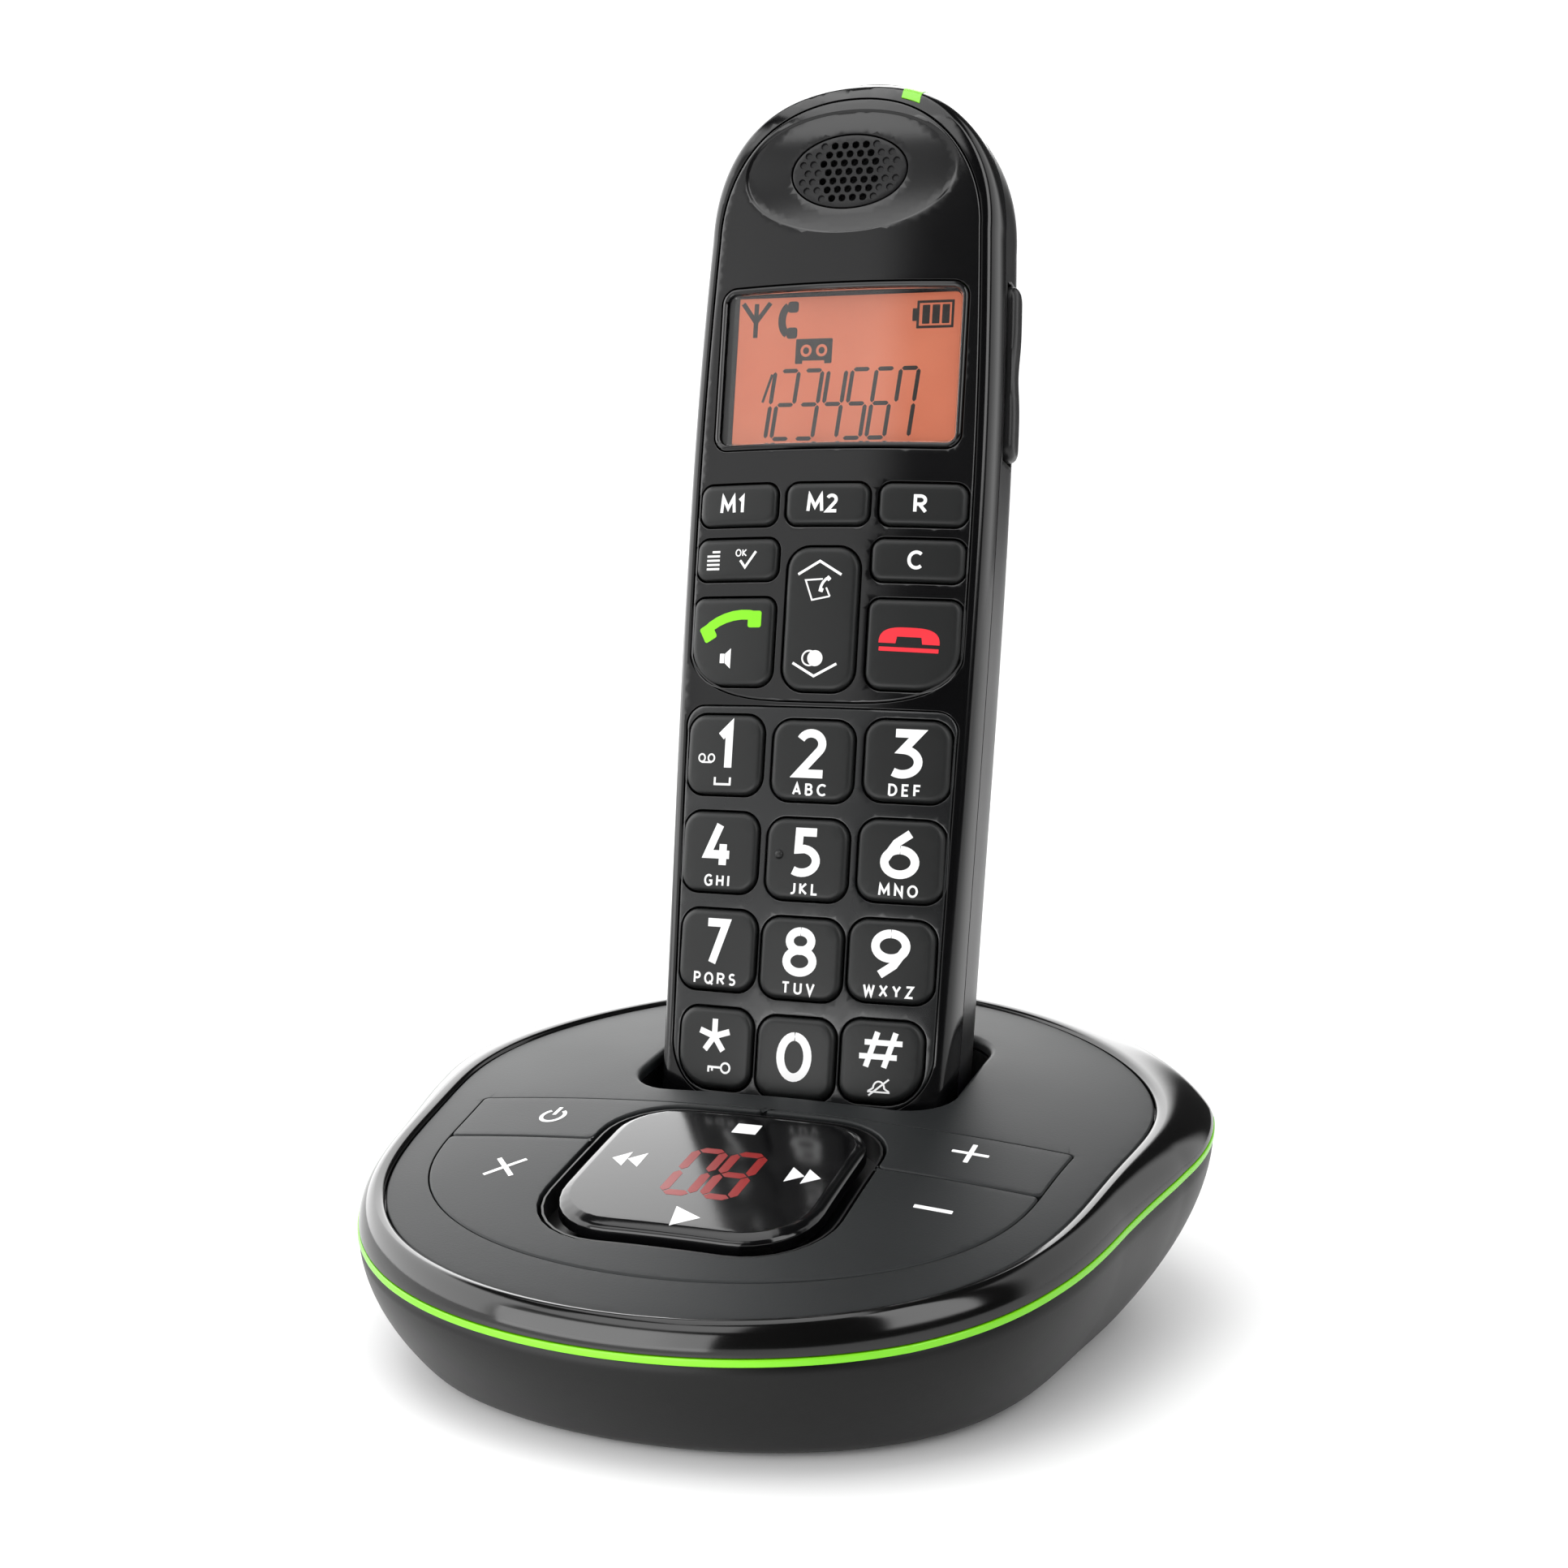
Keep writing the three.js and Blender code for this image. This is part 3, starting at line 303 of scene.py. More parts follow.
def inner_points(rim: np.ndarray, inside: Callable[[np.ndarray], np.ndarray], spacing: float) -> np.ndarray:
    """Spread points over an area, clear of its edge points.

    Args:
        rim: the edge points.
        inside: tells which points belong to the area.
        spacing: their distance.

    Returns:
        The points.
    """
    low, high = rim.min(axis=0), rim.max(axis=0)
    across = np.arange(low[0] + spacing / 2, high[0], spacing)
    up = np.arange(low[1] + spacing / 2, high[1], spacing * 0.866)
    grid = np.array([(x + spacing / 2 * (row % 2), y) for row, y in enumerate(up) for x in across])
    if not len(grid):
        return np.zeros((0, 2))
    grid = grid[inside(grid)]
    tree = KDTree(len(rim))
    for i, p in enumerate(rim):
        tree.insert((p[0], p[1], 0), i)
    tree.balance()
    clear = [tree.find((x, y, 0))[2] > spacing * 0.5 for x, y in grid]
    return grid[np.array(clear, bool)] if len(grid) else grid


# ---------------------------------------------------------------- skins
class Skin:
    """Points and faces that grow into one piece."""

    def __init__(self) -> None:
        """Start with nothing."""
        self.points: list[np.ndarray] = []
        self.faces: list[tuple[int, ...]] = []
        self.count = 0

    def add(self, points: np.ndarray, faces: Sequence[Sequence[int]]) -> "Skin":
        """Add points and the faces between them, and return the skin."""
        self.faces += [tuple(i + self.count for i in face) for face in faces]
        self.points.append(np.asarray(points, float))
        self.count += len(points)
        return self

    def join(self, other: "Skin") -> "Skin":
        """Add another skin, and return this one."""
        return self.add(np.concatenate(other.points), other.faces)

    def mapped(self, surface: Surface) -> "Skin":
        """Return a skin with every point moved by a surface."""
        skin = Skin()
        return skin.add(surface(np.concatenate(self.points)), self.faces)

    @classmethod
    def loft(cls, rings: np.ndarray, closed: bool = False) -> "Skin":
        """Stretch a skin over rings of points.

        Args:
            rings: one row of points for each ring.
            closed: join the last ring to the first instead of capping both ends.

        Returns:
            The skin.
        """
        rings = np.asarray(rings, float)
        count, size = rings.shape[:2]
        faces: list[tuple[int, ...]] = []
        for r in range(count if closed else count - 1):
            a, b = r * size, (r + 1) % count * size
            faces += [(a + i, a + (i + 1) % size, b + (i + 1) % size, b + i) for i in range(size)]
        points = rings.reshape(-1, 3)
        if not closed:
            ends = np.stack([rings[0].mean(axis=0), rings[-1].mean(axis=0)])
            first, last = len(points), len(points) + 1
            points = np.concatenate([points, ends])
            top = (count - 1) * size
            faces += [(first, (i + 1) % size, i) for i in range(size)]
            faces += [(last, top + i, top + (i + 1) % size) for i in range(size)]
        return cls().add(points, faces)

    @classmethod
    def plate(
        cls,
        outline: Loop,
        holes: Sequence[tuple[Loop, Profile]],
        rim: Profile,
        spacing: float,
        creases: Sequence[Loop] = (),
    ) -> "Skin":
        """Make a plate with shaped edges, as rows of across, up and depth.

        Args:
            outline: its edge seen from the front.
            holes: its openings, each with its edge shape.
            rim: shape of the outer edge, from the face down.
            spacing: distance of the points that let it bend.
            creases: more lines that the points of its face lie on.

        Returns:
            The plate.
        """
        outers = [grown(outline, -inset) for inset, _ in rim]
        bores = [[grown(hole, inset) for inset, _ in edge] for hole, edge in holes]
        tops = [outers[0]] + [steps[0] for steps in bores]

        def inside(points: np.ndarray) -> np.ndarray:
            """Tell which points lie on the plate's face."""
            return contains(tops[0], points) & ~within(tops[1:], points)

        area = Region.cut([*tops, *creases], inside, spacing)
        size = len(area.points)
        points = [np.column_stack([area.points, np.full(size, rim[0][1])])]
        faces: list[tuple[int, ...]] = list(area.triangles)
        count, start = size, 0
        under = list(range(size))
        shapes = [rim] + [edge for _, edge in holes]
        for loops, profile in zip([outers] + bores, shapes):
            length = len(loops[0])
            last = [area.index[start + i] for i in range(length)]
            edge = list(last)
            for loop, (_, depth) in zip(loops[1:], profile[1:]):
                ring = list(range(count, count + length))
                faces += [
                    (last[i], ring[i], ring[(i + 1) % length], last[(i + 1) % length]) for i in range(length)
                ]
                points.append(np.column_stack([loop, np.full(length, depth)]))
                count += length
                last = ring
            for top, bottom in zip(edge, last):
                under[top] = bottom
            start += length
        free = [i for i in range(size) if under[i] == i]
        for place, i in enumerate(free):
            under[i] = count + place
        points.append(np.column_stack([area.points[free], np.full(len(free), rim[-1][1])]))
        faces += [tuple(under[i] for i in reversed(face)) for face in area.triangles]
        return cls().add(np.concatenate(points), faces)

    @classmethod
    def flat(
        cls, loops: Sequence[Loop], thick: float, proud: float = 0.04, gaps: Sequence[Loop] = ()
    ) -> "Skin":
        """Make a thin layer in the shape of overlapping outlines, as rows of across, up and depth.

        Args:
            loops: the outlines.
            thick: how thick the layer is.
            proud: how far it stands above the surface.
            gaps: outlines of the openings in it.

        Returns:
            The layer.
        """
        area = Region.cut([*loops, *gaps], lambda points: within(loops, points) & ~within(gaps, points))
        size = len(area.points)
        rim = {(t[k], t[(k + 1) % 3]) for t in area.triangles for k in range(3)}
        faces: list[tuple[int, ...]] = list(area.triangles)
        faces += [tuple(i + size for i in reversed(t)) for t in area.triangles]
        faces += [(b, a, a + size, b + size) for a, b in rim if (b, a) not in rim]
        used = sorted({i for face in faces for i in face})
        place = {old: new for new, old in enumerate(used)}
        both = np.concatenate(
            [
                np.column_stack([area.points, np.full(size, -proud)]),
                np.column_stack([area.points, np.full(size, thick - proud)]),
            ]
        )
        return cls().add(both[used], [tuple(place[i] for i in face) for face in faces])


def build(name: str, skin: Skin, place: Place, sharp: float = 38.0) -> bpy.types.Object:
    """Turn a skin in a maker's frame into an object of the scene.

    Args:
        name: the object's name.
        skin: its points and faces.
        place: the maker's frame.
        sharp: edges that bend by more degrees than this stay sharp.

    Returns:
        The object.
    """
    mesh = bpy.data.meshes.new(name)
    mesh.from_pydata([tuple(p) for p in place(np.concatenate(skin.points))], [], skin.faces)
    return settle(name, mesh, sharp)


def settle(name: str, mesh: bpy.types.Mesh, sharp: float) -> bpy.types.Object:
    """Close a mesh's doubled points, turn its faces outwards, shade it and put it in the scene.

    Args:
        name: the object's name.
        mesh: its mesh.
        sharp: edges that bend by more degrees than this stay sharp.

    Returns:
        The object.
    """
    work = bmesh.new()
    work.from_mesh(mesh)
    bmesh.ops.remove_doubles(work, verts=work.verts, dist=1e-7)
    bmesh.ops.dissolve_degenerate(work, edges=work.edges, dist=1e-7)
    loose = [v for v in work.verts if not v.link_faces]
    bmesh.ops.delete(work, geom=loose, context="VERTS")
    bmesh.ops.recalc_face_normals(work, faces=work.faces)
    work.to_mesh(mesh)
    work.free()
    obj = bpy.data.objects.new(name, mesh)
    bpy.context.scene.collection.objects.link(obj)
    shade(obj, sharp)
    return obj


def shade(obj: bpy.types.Object, sharp: float) -> None:
    """Shade an object smooth, with broad faces kept even by their size.

    Args:
        obj: the object.
        sharp: edges that bend by more degrees than this stay sharp.
    """
    obj.data.shade_smooth()
    obj.data.set_sharp_from_angle(angle=math.radians(sharp))
    weigh = obj.modifiers.new("broad faces", "WEIGHTED_NORMAL")
    weigh.keep_sharp = True
    weigh.mode = "FACE_AREA"
    freeze(obj)


def freeze(obj: bpy.types.Object) -> None:
    """Put what an object's modifiers make into its mesh."""
    graph = bpy.context.evaluated_depsgraph_get()
    mesh = bpy.data.meshes.new_from_object(obj.evaluated_get(graph))
    obj.modifiers.clear()
    obj.data = mesh


def carve(obj: bpy.types.Object, cutters: Sequence[bpy.types.Object], sharp: float = 38.0) -> None:
    """Cut shapes out of an object and remove them.

    Args:
        obj: what is cut.
        cutters: the shapes.
        sharp: edges that bend by more degrees than this stay sharp.
    """
    for cutter in cutters:
        cut = obj.modifiers.new("cut", "BOOLEAN")
        cut.operation = "DIFFERENCE"
        cut.solver = "EXACT"
        cut.object = cutter
    freeze(obj)
    for cutter in cutters:
        bpy.data.objects.remove(cutter)
    shade(obj, sharp)


# ---------------------------------------------------------------- finishes
def srgb(colour: str) -> tuple[float, float, float, float]:
    """Turn a hex colour such as #1b1c1d into linear light with alpha 1."""
    parts = [int(colour[i : i + 2], 16) / 255 for i in (1, 3, 5)]
    linear = [p / 12.92 if p <= 0.04045 else ((p + 0.055) / 1.055) ** 2.4 for p in parts]
    return (*linear, 1.0)


def add_node(tree: bpy.types.NodeTree, kind: str, settings: dict, links: dict) -> bpy.types.Node:
    """Add a node with its settings and links.

    Args:
        tree: the material's node tree.
        kind: the node's type.
        settings: attributes by name, and socket values by name.
        links: sockets by name, each fed by an output socket.

    Returns:
        The node.
    """
    made = tree.nodes.new(kind)
    attributes = {key: value for key, value in settings.items() if hasattr(made, key)}
    for key, value in attributes.items():
        setattr(made, key, value)
    for key, value in settings.items():
        if key not in attributes:
            made.inputs[key].default_value = value
    for key, source in links.items():
        tree.links.new(source, made.inputs[key])
    return made


@dataclass(frozen=True)
class Finish:
    """A surface: what it is made of and how it was made.

    Patterns are given by their real size in millimetres.
    """

    name: str
    slot: str
    colour: str
    second: str
    roughness: float
    spread: float = 0.05
    grain: float = 0.3
    relief: float = 0.02
    mottle: float = 18.0
    ior: float = 1.5
    metallic: float = 0.0
    coat: float = 0.0
    transmission: float = 0.0
    glow: float = 0.0

    def material(self) -> bpy.types.Material:
        """Make the material, or find it if it is made already.

        Returns:
            The material.
        """
        found = bpy.data.materials.get(self.name)
        if found:
            return found
        made = bpy.data.materials.new(self.name)
        made.use_nodes = True
        tree = made.node_tree
        tree.nodes.clear()
        place = add_node(tree, "ShaderNodeTexCoord", {}, {}).outputs["Object"]
        cloud = add_node(
            tree, "ShaderNodeTexNoise", {"Scale": 1 / (self.mottle * MM), "Detail": 3.0}, {"Vector": place}
        )
        tint = add_node(tree, "ShaderNodeValToRGB", {}, {"Fac": cloud.outputs["Fac"]})
        tint.color_ramp.elements[0].position = 0.3
        tint.color_ramp.elements[1].position = 0.7
        tint.color_ramp.elements[0].color = srgb(self.colour)
        tint.color_ramp.elements[1].color = srgb(self.second)
        wear = add_node(
            tree,
            "ShaderNodeMapRange",
            {"To Min": self.roughness - self.spread / 2, "To Max": self.roughness + self.spread / 2},
            {"Value": cloud.outputs["Fac"]},
        )
        speck = add_node(
            tree, "ShaderNodeTexNoise", {"Scale": 1 / (self.grain * MM), "Detail": 2.0}, {"Vector": place}
        )
        bump = add_node(
            tree,
            "ShaderNodeBump",
            {"Strength": 1.0, "Distance": self.relief * MM},
            {"Height": speck.outputs["Fac"]},
        )
        settings = {
            "IOR": self.ior,
            "Metallic": self.metallic,
            "Coat Weight": self.coat,
            "Coat Roughness": 0.04,
            "Transmission Weight": self.transmission,
            "Emission Strength": self.glow,
        }
        links = {
            "Base Color": tint.outputs["Color"],
            "Roughness": wear.outputs["Result"],
            "Normal": bump.outputs["Normal"],
        }
        if self.glow:
            links["Emission Color"] = tint.outputs["Color"]
        shader = add_node(tree, "ShaderNodeBsdfPrincipled", settings, links)
        add_node(tree, "ShaderNodeOutputMaterial", {}, {"Surface": shader.outputs["BSDF"]})
        return made


# ABS moulded in a polished tool: a black mirror that softens a little where it has been handled
POLISHED_ABS = Finish(
    "polished_black_abs", "gloss_black", "#050506", "#080809", 0.12, 0.05, 1.6, 0.003, ior=1.46
)
RIM_ABS = Finish("polished_rim_abs", "rim_gloss_black", "#050505", "#080808", 0.11, 0.04, 1.8, 0.003, ior=1.5)
# ABS face plate, polished and hard-coated: sharp reflections over a slightly lighter black
FACE_ABS = Finish("hard_coated_face_abs", "face_black", "#0a0a0b", "#0d0d0e", 0.15, 0.05, 1.4, 0.003)
KEYPAD_ABS = Finish("satin_keypad_abs", "keypad_grey", "#121314", "#161718", 0.27, 0.06, 0.7, 0.004)
# ABS moulded in a spark-eroded tool: a fine dry grain that spreads every reflection
SATIN_ABS = Finish(
    "spark_eroded_black_abs", "satin_black", "#0e0e0f", "#131314", 0.34, 0.08, 0.32, 0.010, ior=1.4
)
KEY_ABS = Finish(
    "spark_eroded_key_abs", "key_plastic", "#121313", "#151616", 0.42, 0.06, 0.28, 0.008, ior=1.4
)
PLATE_ABS = Finish(
    "spark_eroded_grey_abs", "plate_matte_grey", "#17191a", "#1b1d1e", 0.50, 0.06, 0.36, 0.014, ior=1.35
)
BOWL_ABS = Finish(
    "satin_bowl_abs", "base_lower_plastic", "#0a0a0a", "#0d0d0d", 0.38, 0.06, 0.40, 0.008, ior=1.3
)
# coloured polycarbonate moulded glossy: clear deep colour with a bright skin
GREEN_PC = Finish("glossy_green_polycarbonate", "accent_green", "#68bc04", "#70c40a", 0.24, 0.04, 0.9, 0.003)
LAMP_PC = Finish(
    "frosted_green_light_guide", "indicator_green", "#74c418", "#7ecc24", 0.30, 0.05, 0.5, 0.006, glow=0.08
)
WINDOW_PMMA = Finish(
    "clear_acrylic_window", "lens_clear", "#f4f4f4", "#fafafa", 0.03, 0.01, 3.0, 0.0005,
    ior=1.49, transmission=1.0,
)
# two-part ink pressed on by a pad: flat, opaque and slightly dull
WHITE_INK = Finish("pad_printed_white_ink", "key_plastic", "#e6e6e6", "#eeeeee", 0.45, 0.05, 0.5, 0.004)
GREEN_INK = Finish("pad_printed_green_ink", "key_plastic", "#76d000", "#7ed808", 0.42, 0.05, 0.5, 0.004)
RED_INK = Finish("pad_printed_red_ink", "key_plastic", "#e01a2a", "#e82232", 0.42, 0.05, 0.5, 0.004)
# liquid crystal glass over an amber light sheet, and its switched segments
AMBER_GLASS = Finish(
    "backlit_amber_display_glass", "lcd_amber", "#cc6c4c", "#d87f60", 0.45, 0.04, 2.0, 0.001,
    mottle=30.0, glow=0.42,
)
SEGMENT_FILM = Finish("dark_display_segments", "lcd_amber", "#2c2a28", "#353230", 0.35, 0.04, 0.8, 0.001)
RED_DIODE = Finish(
    "red_diode_segments", "display_red", "#6a0403", "#780604", 0.35, 0.05, 0.6, 0.002, glow=0.30
)
# nickel over pressed copper alloy: pale warm grey with faint rolling marks
NICKEL = Finish(
    "nickel_plated_contact", "contact_metal", "#b9b4aa", "#c8c4bc", 0.28, 0.08, 0.25, 0.004, metallic=1.0
)
RUBBER = Finish("moulded_foot_rubber", "foot_rubber", "#141414", "#1b1b1b", 0.8, 0.1, 0.45, 0.03)
WRAP = Finish("shrink_wrapped_cell", "cell_wrap", "#2f8a48", "#3a9a54", 0.3, 0.06, 0.8, 0.004)
RESIST = Finish("solder_resist_board", "board_green", "#14502e", "#1b5f38", 0.4, 0.08, 0.6, 0.01)
# uncoated paper from a roll, as the floor of the studio
PAPER = Finish("white_seamless_paper", "stage", "#f4f4f4", "#f6f6f6", 0.7, 0.05, 1.0, 0.01, mottle=400.0)


def dress(obj: bpy.types.Object, finish: Finish, body: str, stands_for: Sequence[str] = ()) -> None:
    """Give a piece its finish and its body.

    Args:
        obj: the piece.
        finish: its surface.
        body: the body that it moves with.
        stands_for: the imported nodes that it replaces.
    """
    obj.data.materials.clear()
    obj.data.materials.append(finish.material())
    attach(obj, body)
    if stands_for:
        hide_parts(*stands_for)
    LOG.info("%s: %s on %s", obj.name, finish.name, body)


# ---------------------------------------------------------------- lettering and signs
# strokes of each sign in a box one unit high; the number is its width
SIGNS: dict[str, tuple[float, list[Path]]] = {
    "0": (0.702, [[(0.351, 0.5, 0.351, 0.5, 90, 450)]]),
    "1": (0.247, [[(0, 0.78), (0.228, 1), (0.228, 0)]]),
    "2": (0.608, [[(0.281, 0.735, 0.292, 0.265, 155, -35), (0, 0), (0.62, 0)]]),
    "3": (0.614, [[(0.026, 1), (0.576, 1), (0.23, 0.6), (0.218, 0.3, 0.384, 0.3, 85, -125)]]),
    "4": (0.615, [[(0.329, 1), (0, 0.26), (0.615, 0.26)], [(0.435, 0.52), (0.435, 0)]]),
    "5": (0.576, [[(0.552, 1), (0.108, 1), (0.096, 0.57), (0.192, 0.295, 0.372, 0.295, 80, -125)]]),
    "6": (0.745, [[(0.373, 0.3, 0.373, 0.3, 90, 450)], [(0.607, 1), (0.276, 0.76), (0.028, 0.38)]]),
    "7": (0.53, [[(0, 1), (0.51, 1), (0.163, 0)]]),
    "8": (0.676, [[(0.338, 0.765, 0.28, 0.235, 90, 450)], [(0.338, 0.27, 0.338, 0.27, 90, 450)]]),
    "9": (0.745, [[(0.373, 0.7, 0.373, 0.3, 90, 450)], [(0.138, 0), (0.469, 0.24), (0.718, 0.62)]]),
    "#": (1.22, [[(0.2, 0), (0.5, 1)], [(0.72, 0), (1.02, 1)],
                [(0.14, 0.7), (1.22, 0.7)], [(0, 0.3), (1.08, 0.3)]]),
    "A": (0.732, [[(0, 0), (0.366, 1), (0.732, 0)], [(0.122, 0.3), (0.61, 0.3)]]),
    "B": (0.61, [[(0, 0), (0, 1), (0.293, 1), (0.293, 0.76, 0.244, 0.24, 90, -90), (0, 0.52)],
                [(0.293, 0.52), (0.305, 0.26, 0.293, 0.26, 90, -90), (0, 0)]]),
    "C": (0.81, [[(0.459, 0.5, 0.459, 0.5, 48, 312)]]),
    "D": (0.708, [[(0, 0), (0, 1), (0.244, 1), (0.244, 0.5, 0.439, 0.5, 90, -90), (0, 0)]]),
    "E": (0.537, [[(0.537, 1), (0, 1), (0, 0), (0.537, 0)], [(0, 0.52), (0.464, 0.52)]]),
    "F": (0.512, [[(0.537, 1), (0, 1), (0, 0)], [(0, 0.52), (0.464, 0.52)]]),
    "G": (0.756, [[(0.415, 0.5, 0.415, 0.5, 48, 300), (0.732, 0.12), (0.732, 0.46), (0.464, 0.46)]]),
    "H": (0.634, [[(0, 0), (0, 1)], [(0.634, 0), (0.634, 1)], [(0, 0.5), (0.634, 0.5)]]),
    "I": (0.04, [[(0.02, 0), (0.02, 1)]]),
    "J": (0.415, [[(0.415, 1), (0.415, 0.28), (0.146, 0.26, 0.268, 0.26, 0, -110)]]),
    "K": (0.61, [[(0, 0), (0, 1)], [(0.586, 1), (0.061, 0.5), (0.634, 0)]]),
    "L": (0.512, [[(0, 1), (0, 0), (0.512, 0)]]),
    "M": (0.936, [[(0, 0), (0.078, 1), (0.468, 0.28), (0.858, 1), (0.936, 0)]]),
    "N": (0.659, [[(0, 0), (0, 1), (0.659, 0), (0.659, 1)]]),
    "O": (0.83, [[(0.415, 0.5, 0.415, 0.5, 90, 450)]]),
    "P": (0.586, [[(0, 0), (0, 1), (0.293, 1), (0.293, 0.74, 0.281, 0.26, 90, -90), (0, 0.48)]]),
    "Q": (0.83, [[(0.415, 0.5, 0.415, 0.5, 90, 450)], [(0.488, 0.22), (0.854, -0.1)]]),
    "R": (0.675, [[(0, 0), (0, 1), (0.324, 1), (0.324, 0.74, 0.311, 0.26, 90, -90), (0, 0.48)],
                 [(0.27, 0.48), (0.675, 0)]]),
    "S": (0.586, [[(0.305, 0.75, 0.256, 0.25, 40, 255), (0.293, 0.26, 0.293, 0.26, 75, -140)]]),
    "T": (0.683, [[(0, 1), (0.683, 1)], [(0.342, 1), (0.342, 0)]]),
    "U": (0.634, [[(0, 1), (0.317, 0.27, 0.317, 0.27, 180, 360), (0.634, 1)]]),
    "V": (0.708, [[(0, 1), (0.354, 0), (0.708, 1)]]),
    "W": (0.966, [[(0, 1), (0.23, 0), (0.483, 0.8), (0.736, 0), (0.966, 1)]]),
    "X": (0.659, [[(0, 0), (0.659, 1)], [(0, 1), (0.659, 0)]]),
    "Y": (0.683, [[(0, 1), (0.342, 0.46), (0.683, 1)], [(0.342, 0.46), (0.342, 0)]]),
    "Z": (0.634, [[(0, 1), (0.61, 1), (0, 0), (0.634, 0)]]),
}
SHARP_TURN = 0.5         # a stroke that turns by more than this, in radians, gets a mitred corner


def trace(path: Path) -> Loop:
    """Turn a stroke of points and arcs into a line of points."""
    parts = [arc(*step) if len(step) == 6 else np.array([step], float) for step in path]
    line = np.concatenate(parts)
    apart = np.hypot(*np.diff(line, axis=0).T) > 1e-4
    return line[np.concatenate([[True], apart])]


def ribbon(line: np.ndarray, width: float) -> list[Loop]:
    """Draw a line with a flat pen.

    Args:
        line: its points.
        width: the pen's width.

    Returns:
        Outlines that cover it together: smooth stretches and mitred corners.
    """
    step = np.diff(line, axis=0)
    turn = np.unwrap(np.arctan2(step[:, 1], step[:, 0]))
    breaks = [i + 1 for i, change in enumerate(np.diff(turn)) if abs(change) > SHARP_TURN]
    loops = []
    for a, b in zip([0] + breaks, breaks + [len(line) - 1]):
        run = line[a : b + 1]
        way = np.gradient(run, axis=0) if len(run) > 2 else np.repeat([run[1] - run[0]], 2, axis=0)
        way = way / np.hypot(*way.T)[:, None]
        side = np.stack([-way[:, 1], way[:, 0]], axis=1) * width / 2
        loops.append(np.concatenate([run - side, (run + side)[::-1]]))
    for i in breaks:
        first, second = (step[i - 1] / np.hypot(*step[i - 1])), (step[i] / np.hypot(*step[i]))
        left = first[0] * second[1] - first[1] * second[0] > 0
        sign = -1.0 if left else 1.0
        a = line[i] + sign * width / 2 * np.array([-first[1], first[0]])
        b = line[i] + sign * width / 2 * np.array([-second[1], second[0]])
        reach = max(0.35, math.cos(abs(turn[i] - turn[i - 1]) / 2))
        middle = (a + b) / 2 - line[i]
        tip = line[i] + middle / np.hypot(*middle) * width / 2 / reach
        corner = np.array([line[i], a, tip, b])
        loops.append(corner if left else corner[::-1])
    return loops


def lettering(text: str, height: float, pen: float, across: float, up: float, gap: float = 0.9) -> list[Loop]:
    """Draw a word in capitals, digits and signs, centred on a point.

    Args:
        text: the word.
        height: height of its letters.
        pen: width of the strokes.
        across, up: its middle.
        gap: space between letters, as a share of the pen's width more than touching.

    Returns:
        Its outlines.
    """
    size = height - pen
    widths = [SIGNS[letter][0] * size for letter in text]
    left = across - (sum(widths) + (len(text) - 1) * pen * (1 + gap)) / 2
    loops = []
    for letter, width in zip(text, widths):
        for path in SIGNS[letter][1]:
            line = trace(path) * size + [left, up - size / 2]
            loops += ribbon(line, pen)
        left += width + pen * (1 + gap)
    return loops


def moved(loops: Sequence[Loop], across: float, up: float, turn: float = 0.0) -> list[Loop]:
    """Turn and move outlines.

    Args:
        loops: the outlines.
        across, up: how far they go.
        turn: degrees anticlockwise.

    Returns:
        The new outlines.
    """
    c, s = math.cos(math.radians(turn)), math.sin(math.radians(turn))
    return [loop @ np.array([[c, s], [-s, c]]) + [across, up] for loop in loops]


def receiver(width: float, pen: float) -> list[Loop]:
    """Draw a telephone receiver with its ends down, centred on its top."""
    half = width / 2 - pen * 0.3
    bow = trace([(0, -half * 0.85, half * 1.38, half * 0.85, 133, 47)])
    loops = ribbon(bow, pen)
    for side in (-1, 1):
        end = round_rect(-pen * 0.75, -pen * 1.2, pen * 0.75, pen * 0.5, pen * 0.25)
        loops += moved([end], side * half * 0.9, -half * 0.2, -side * 15)
    return loops


def hung_up(width: float, height: float) -> list[Loop]:
    """Draw a receiver lying on its rest, centred on the bottom of the receiver."""
    half = width / 2
    a = np.radians(np.linspace(0, 180, 31))
    top = np.column_stack([half * np.sign(np.cos(a)) * np.abs(np.cos(a)) ** 0.62, height * np.sin(a) ** 0.75])
    notch = [(-half * 0.44, 0), (-half * 0.4, height * 0.42), (half * 0.4, height * 0.42), (half * 0.44, 0)]
    rest = round_rect(-half * 0.98, -height * 0.5, half * 0.98, -height * 0.24, 0.1)
    return [np.concatenate([top, notch]), rest]


# which of its seven segments a digit lights: a is the top one, then clockwise to f, and g is the middle one
LIT_SEGMENTS = {
    "0": "abcdef",
    "1": "bc",
    "2": "abdeg",
    "3": "abcdg",
    "4": "bcfg",
    "5": "acdfg",
    "6": "acdefg",
    "7": "abcf",
    "8": "abcdefg",
}


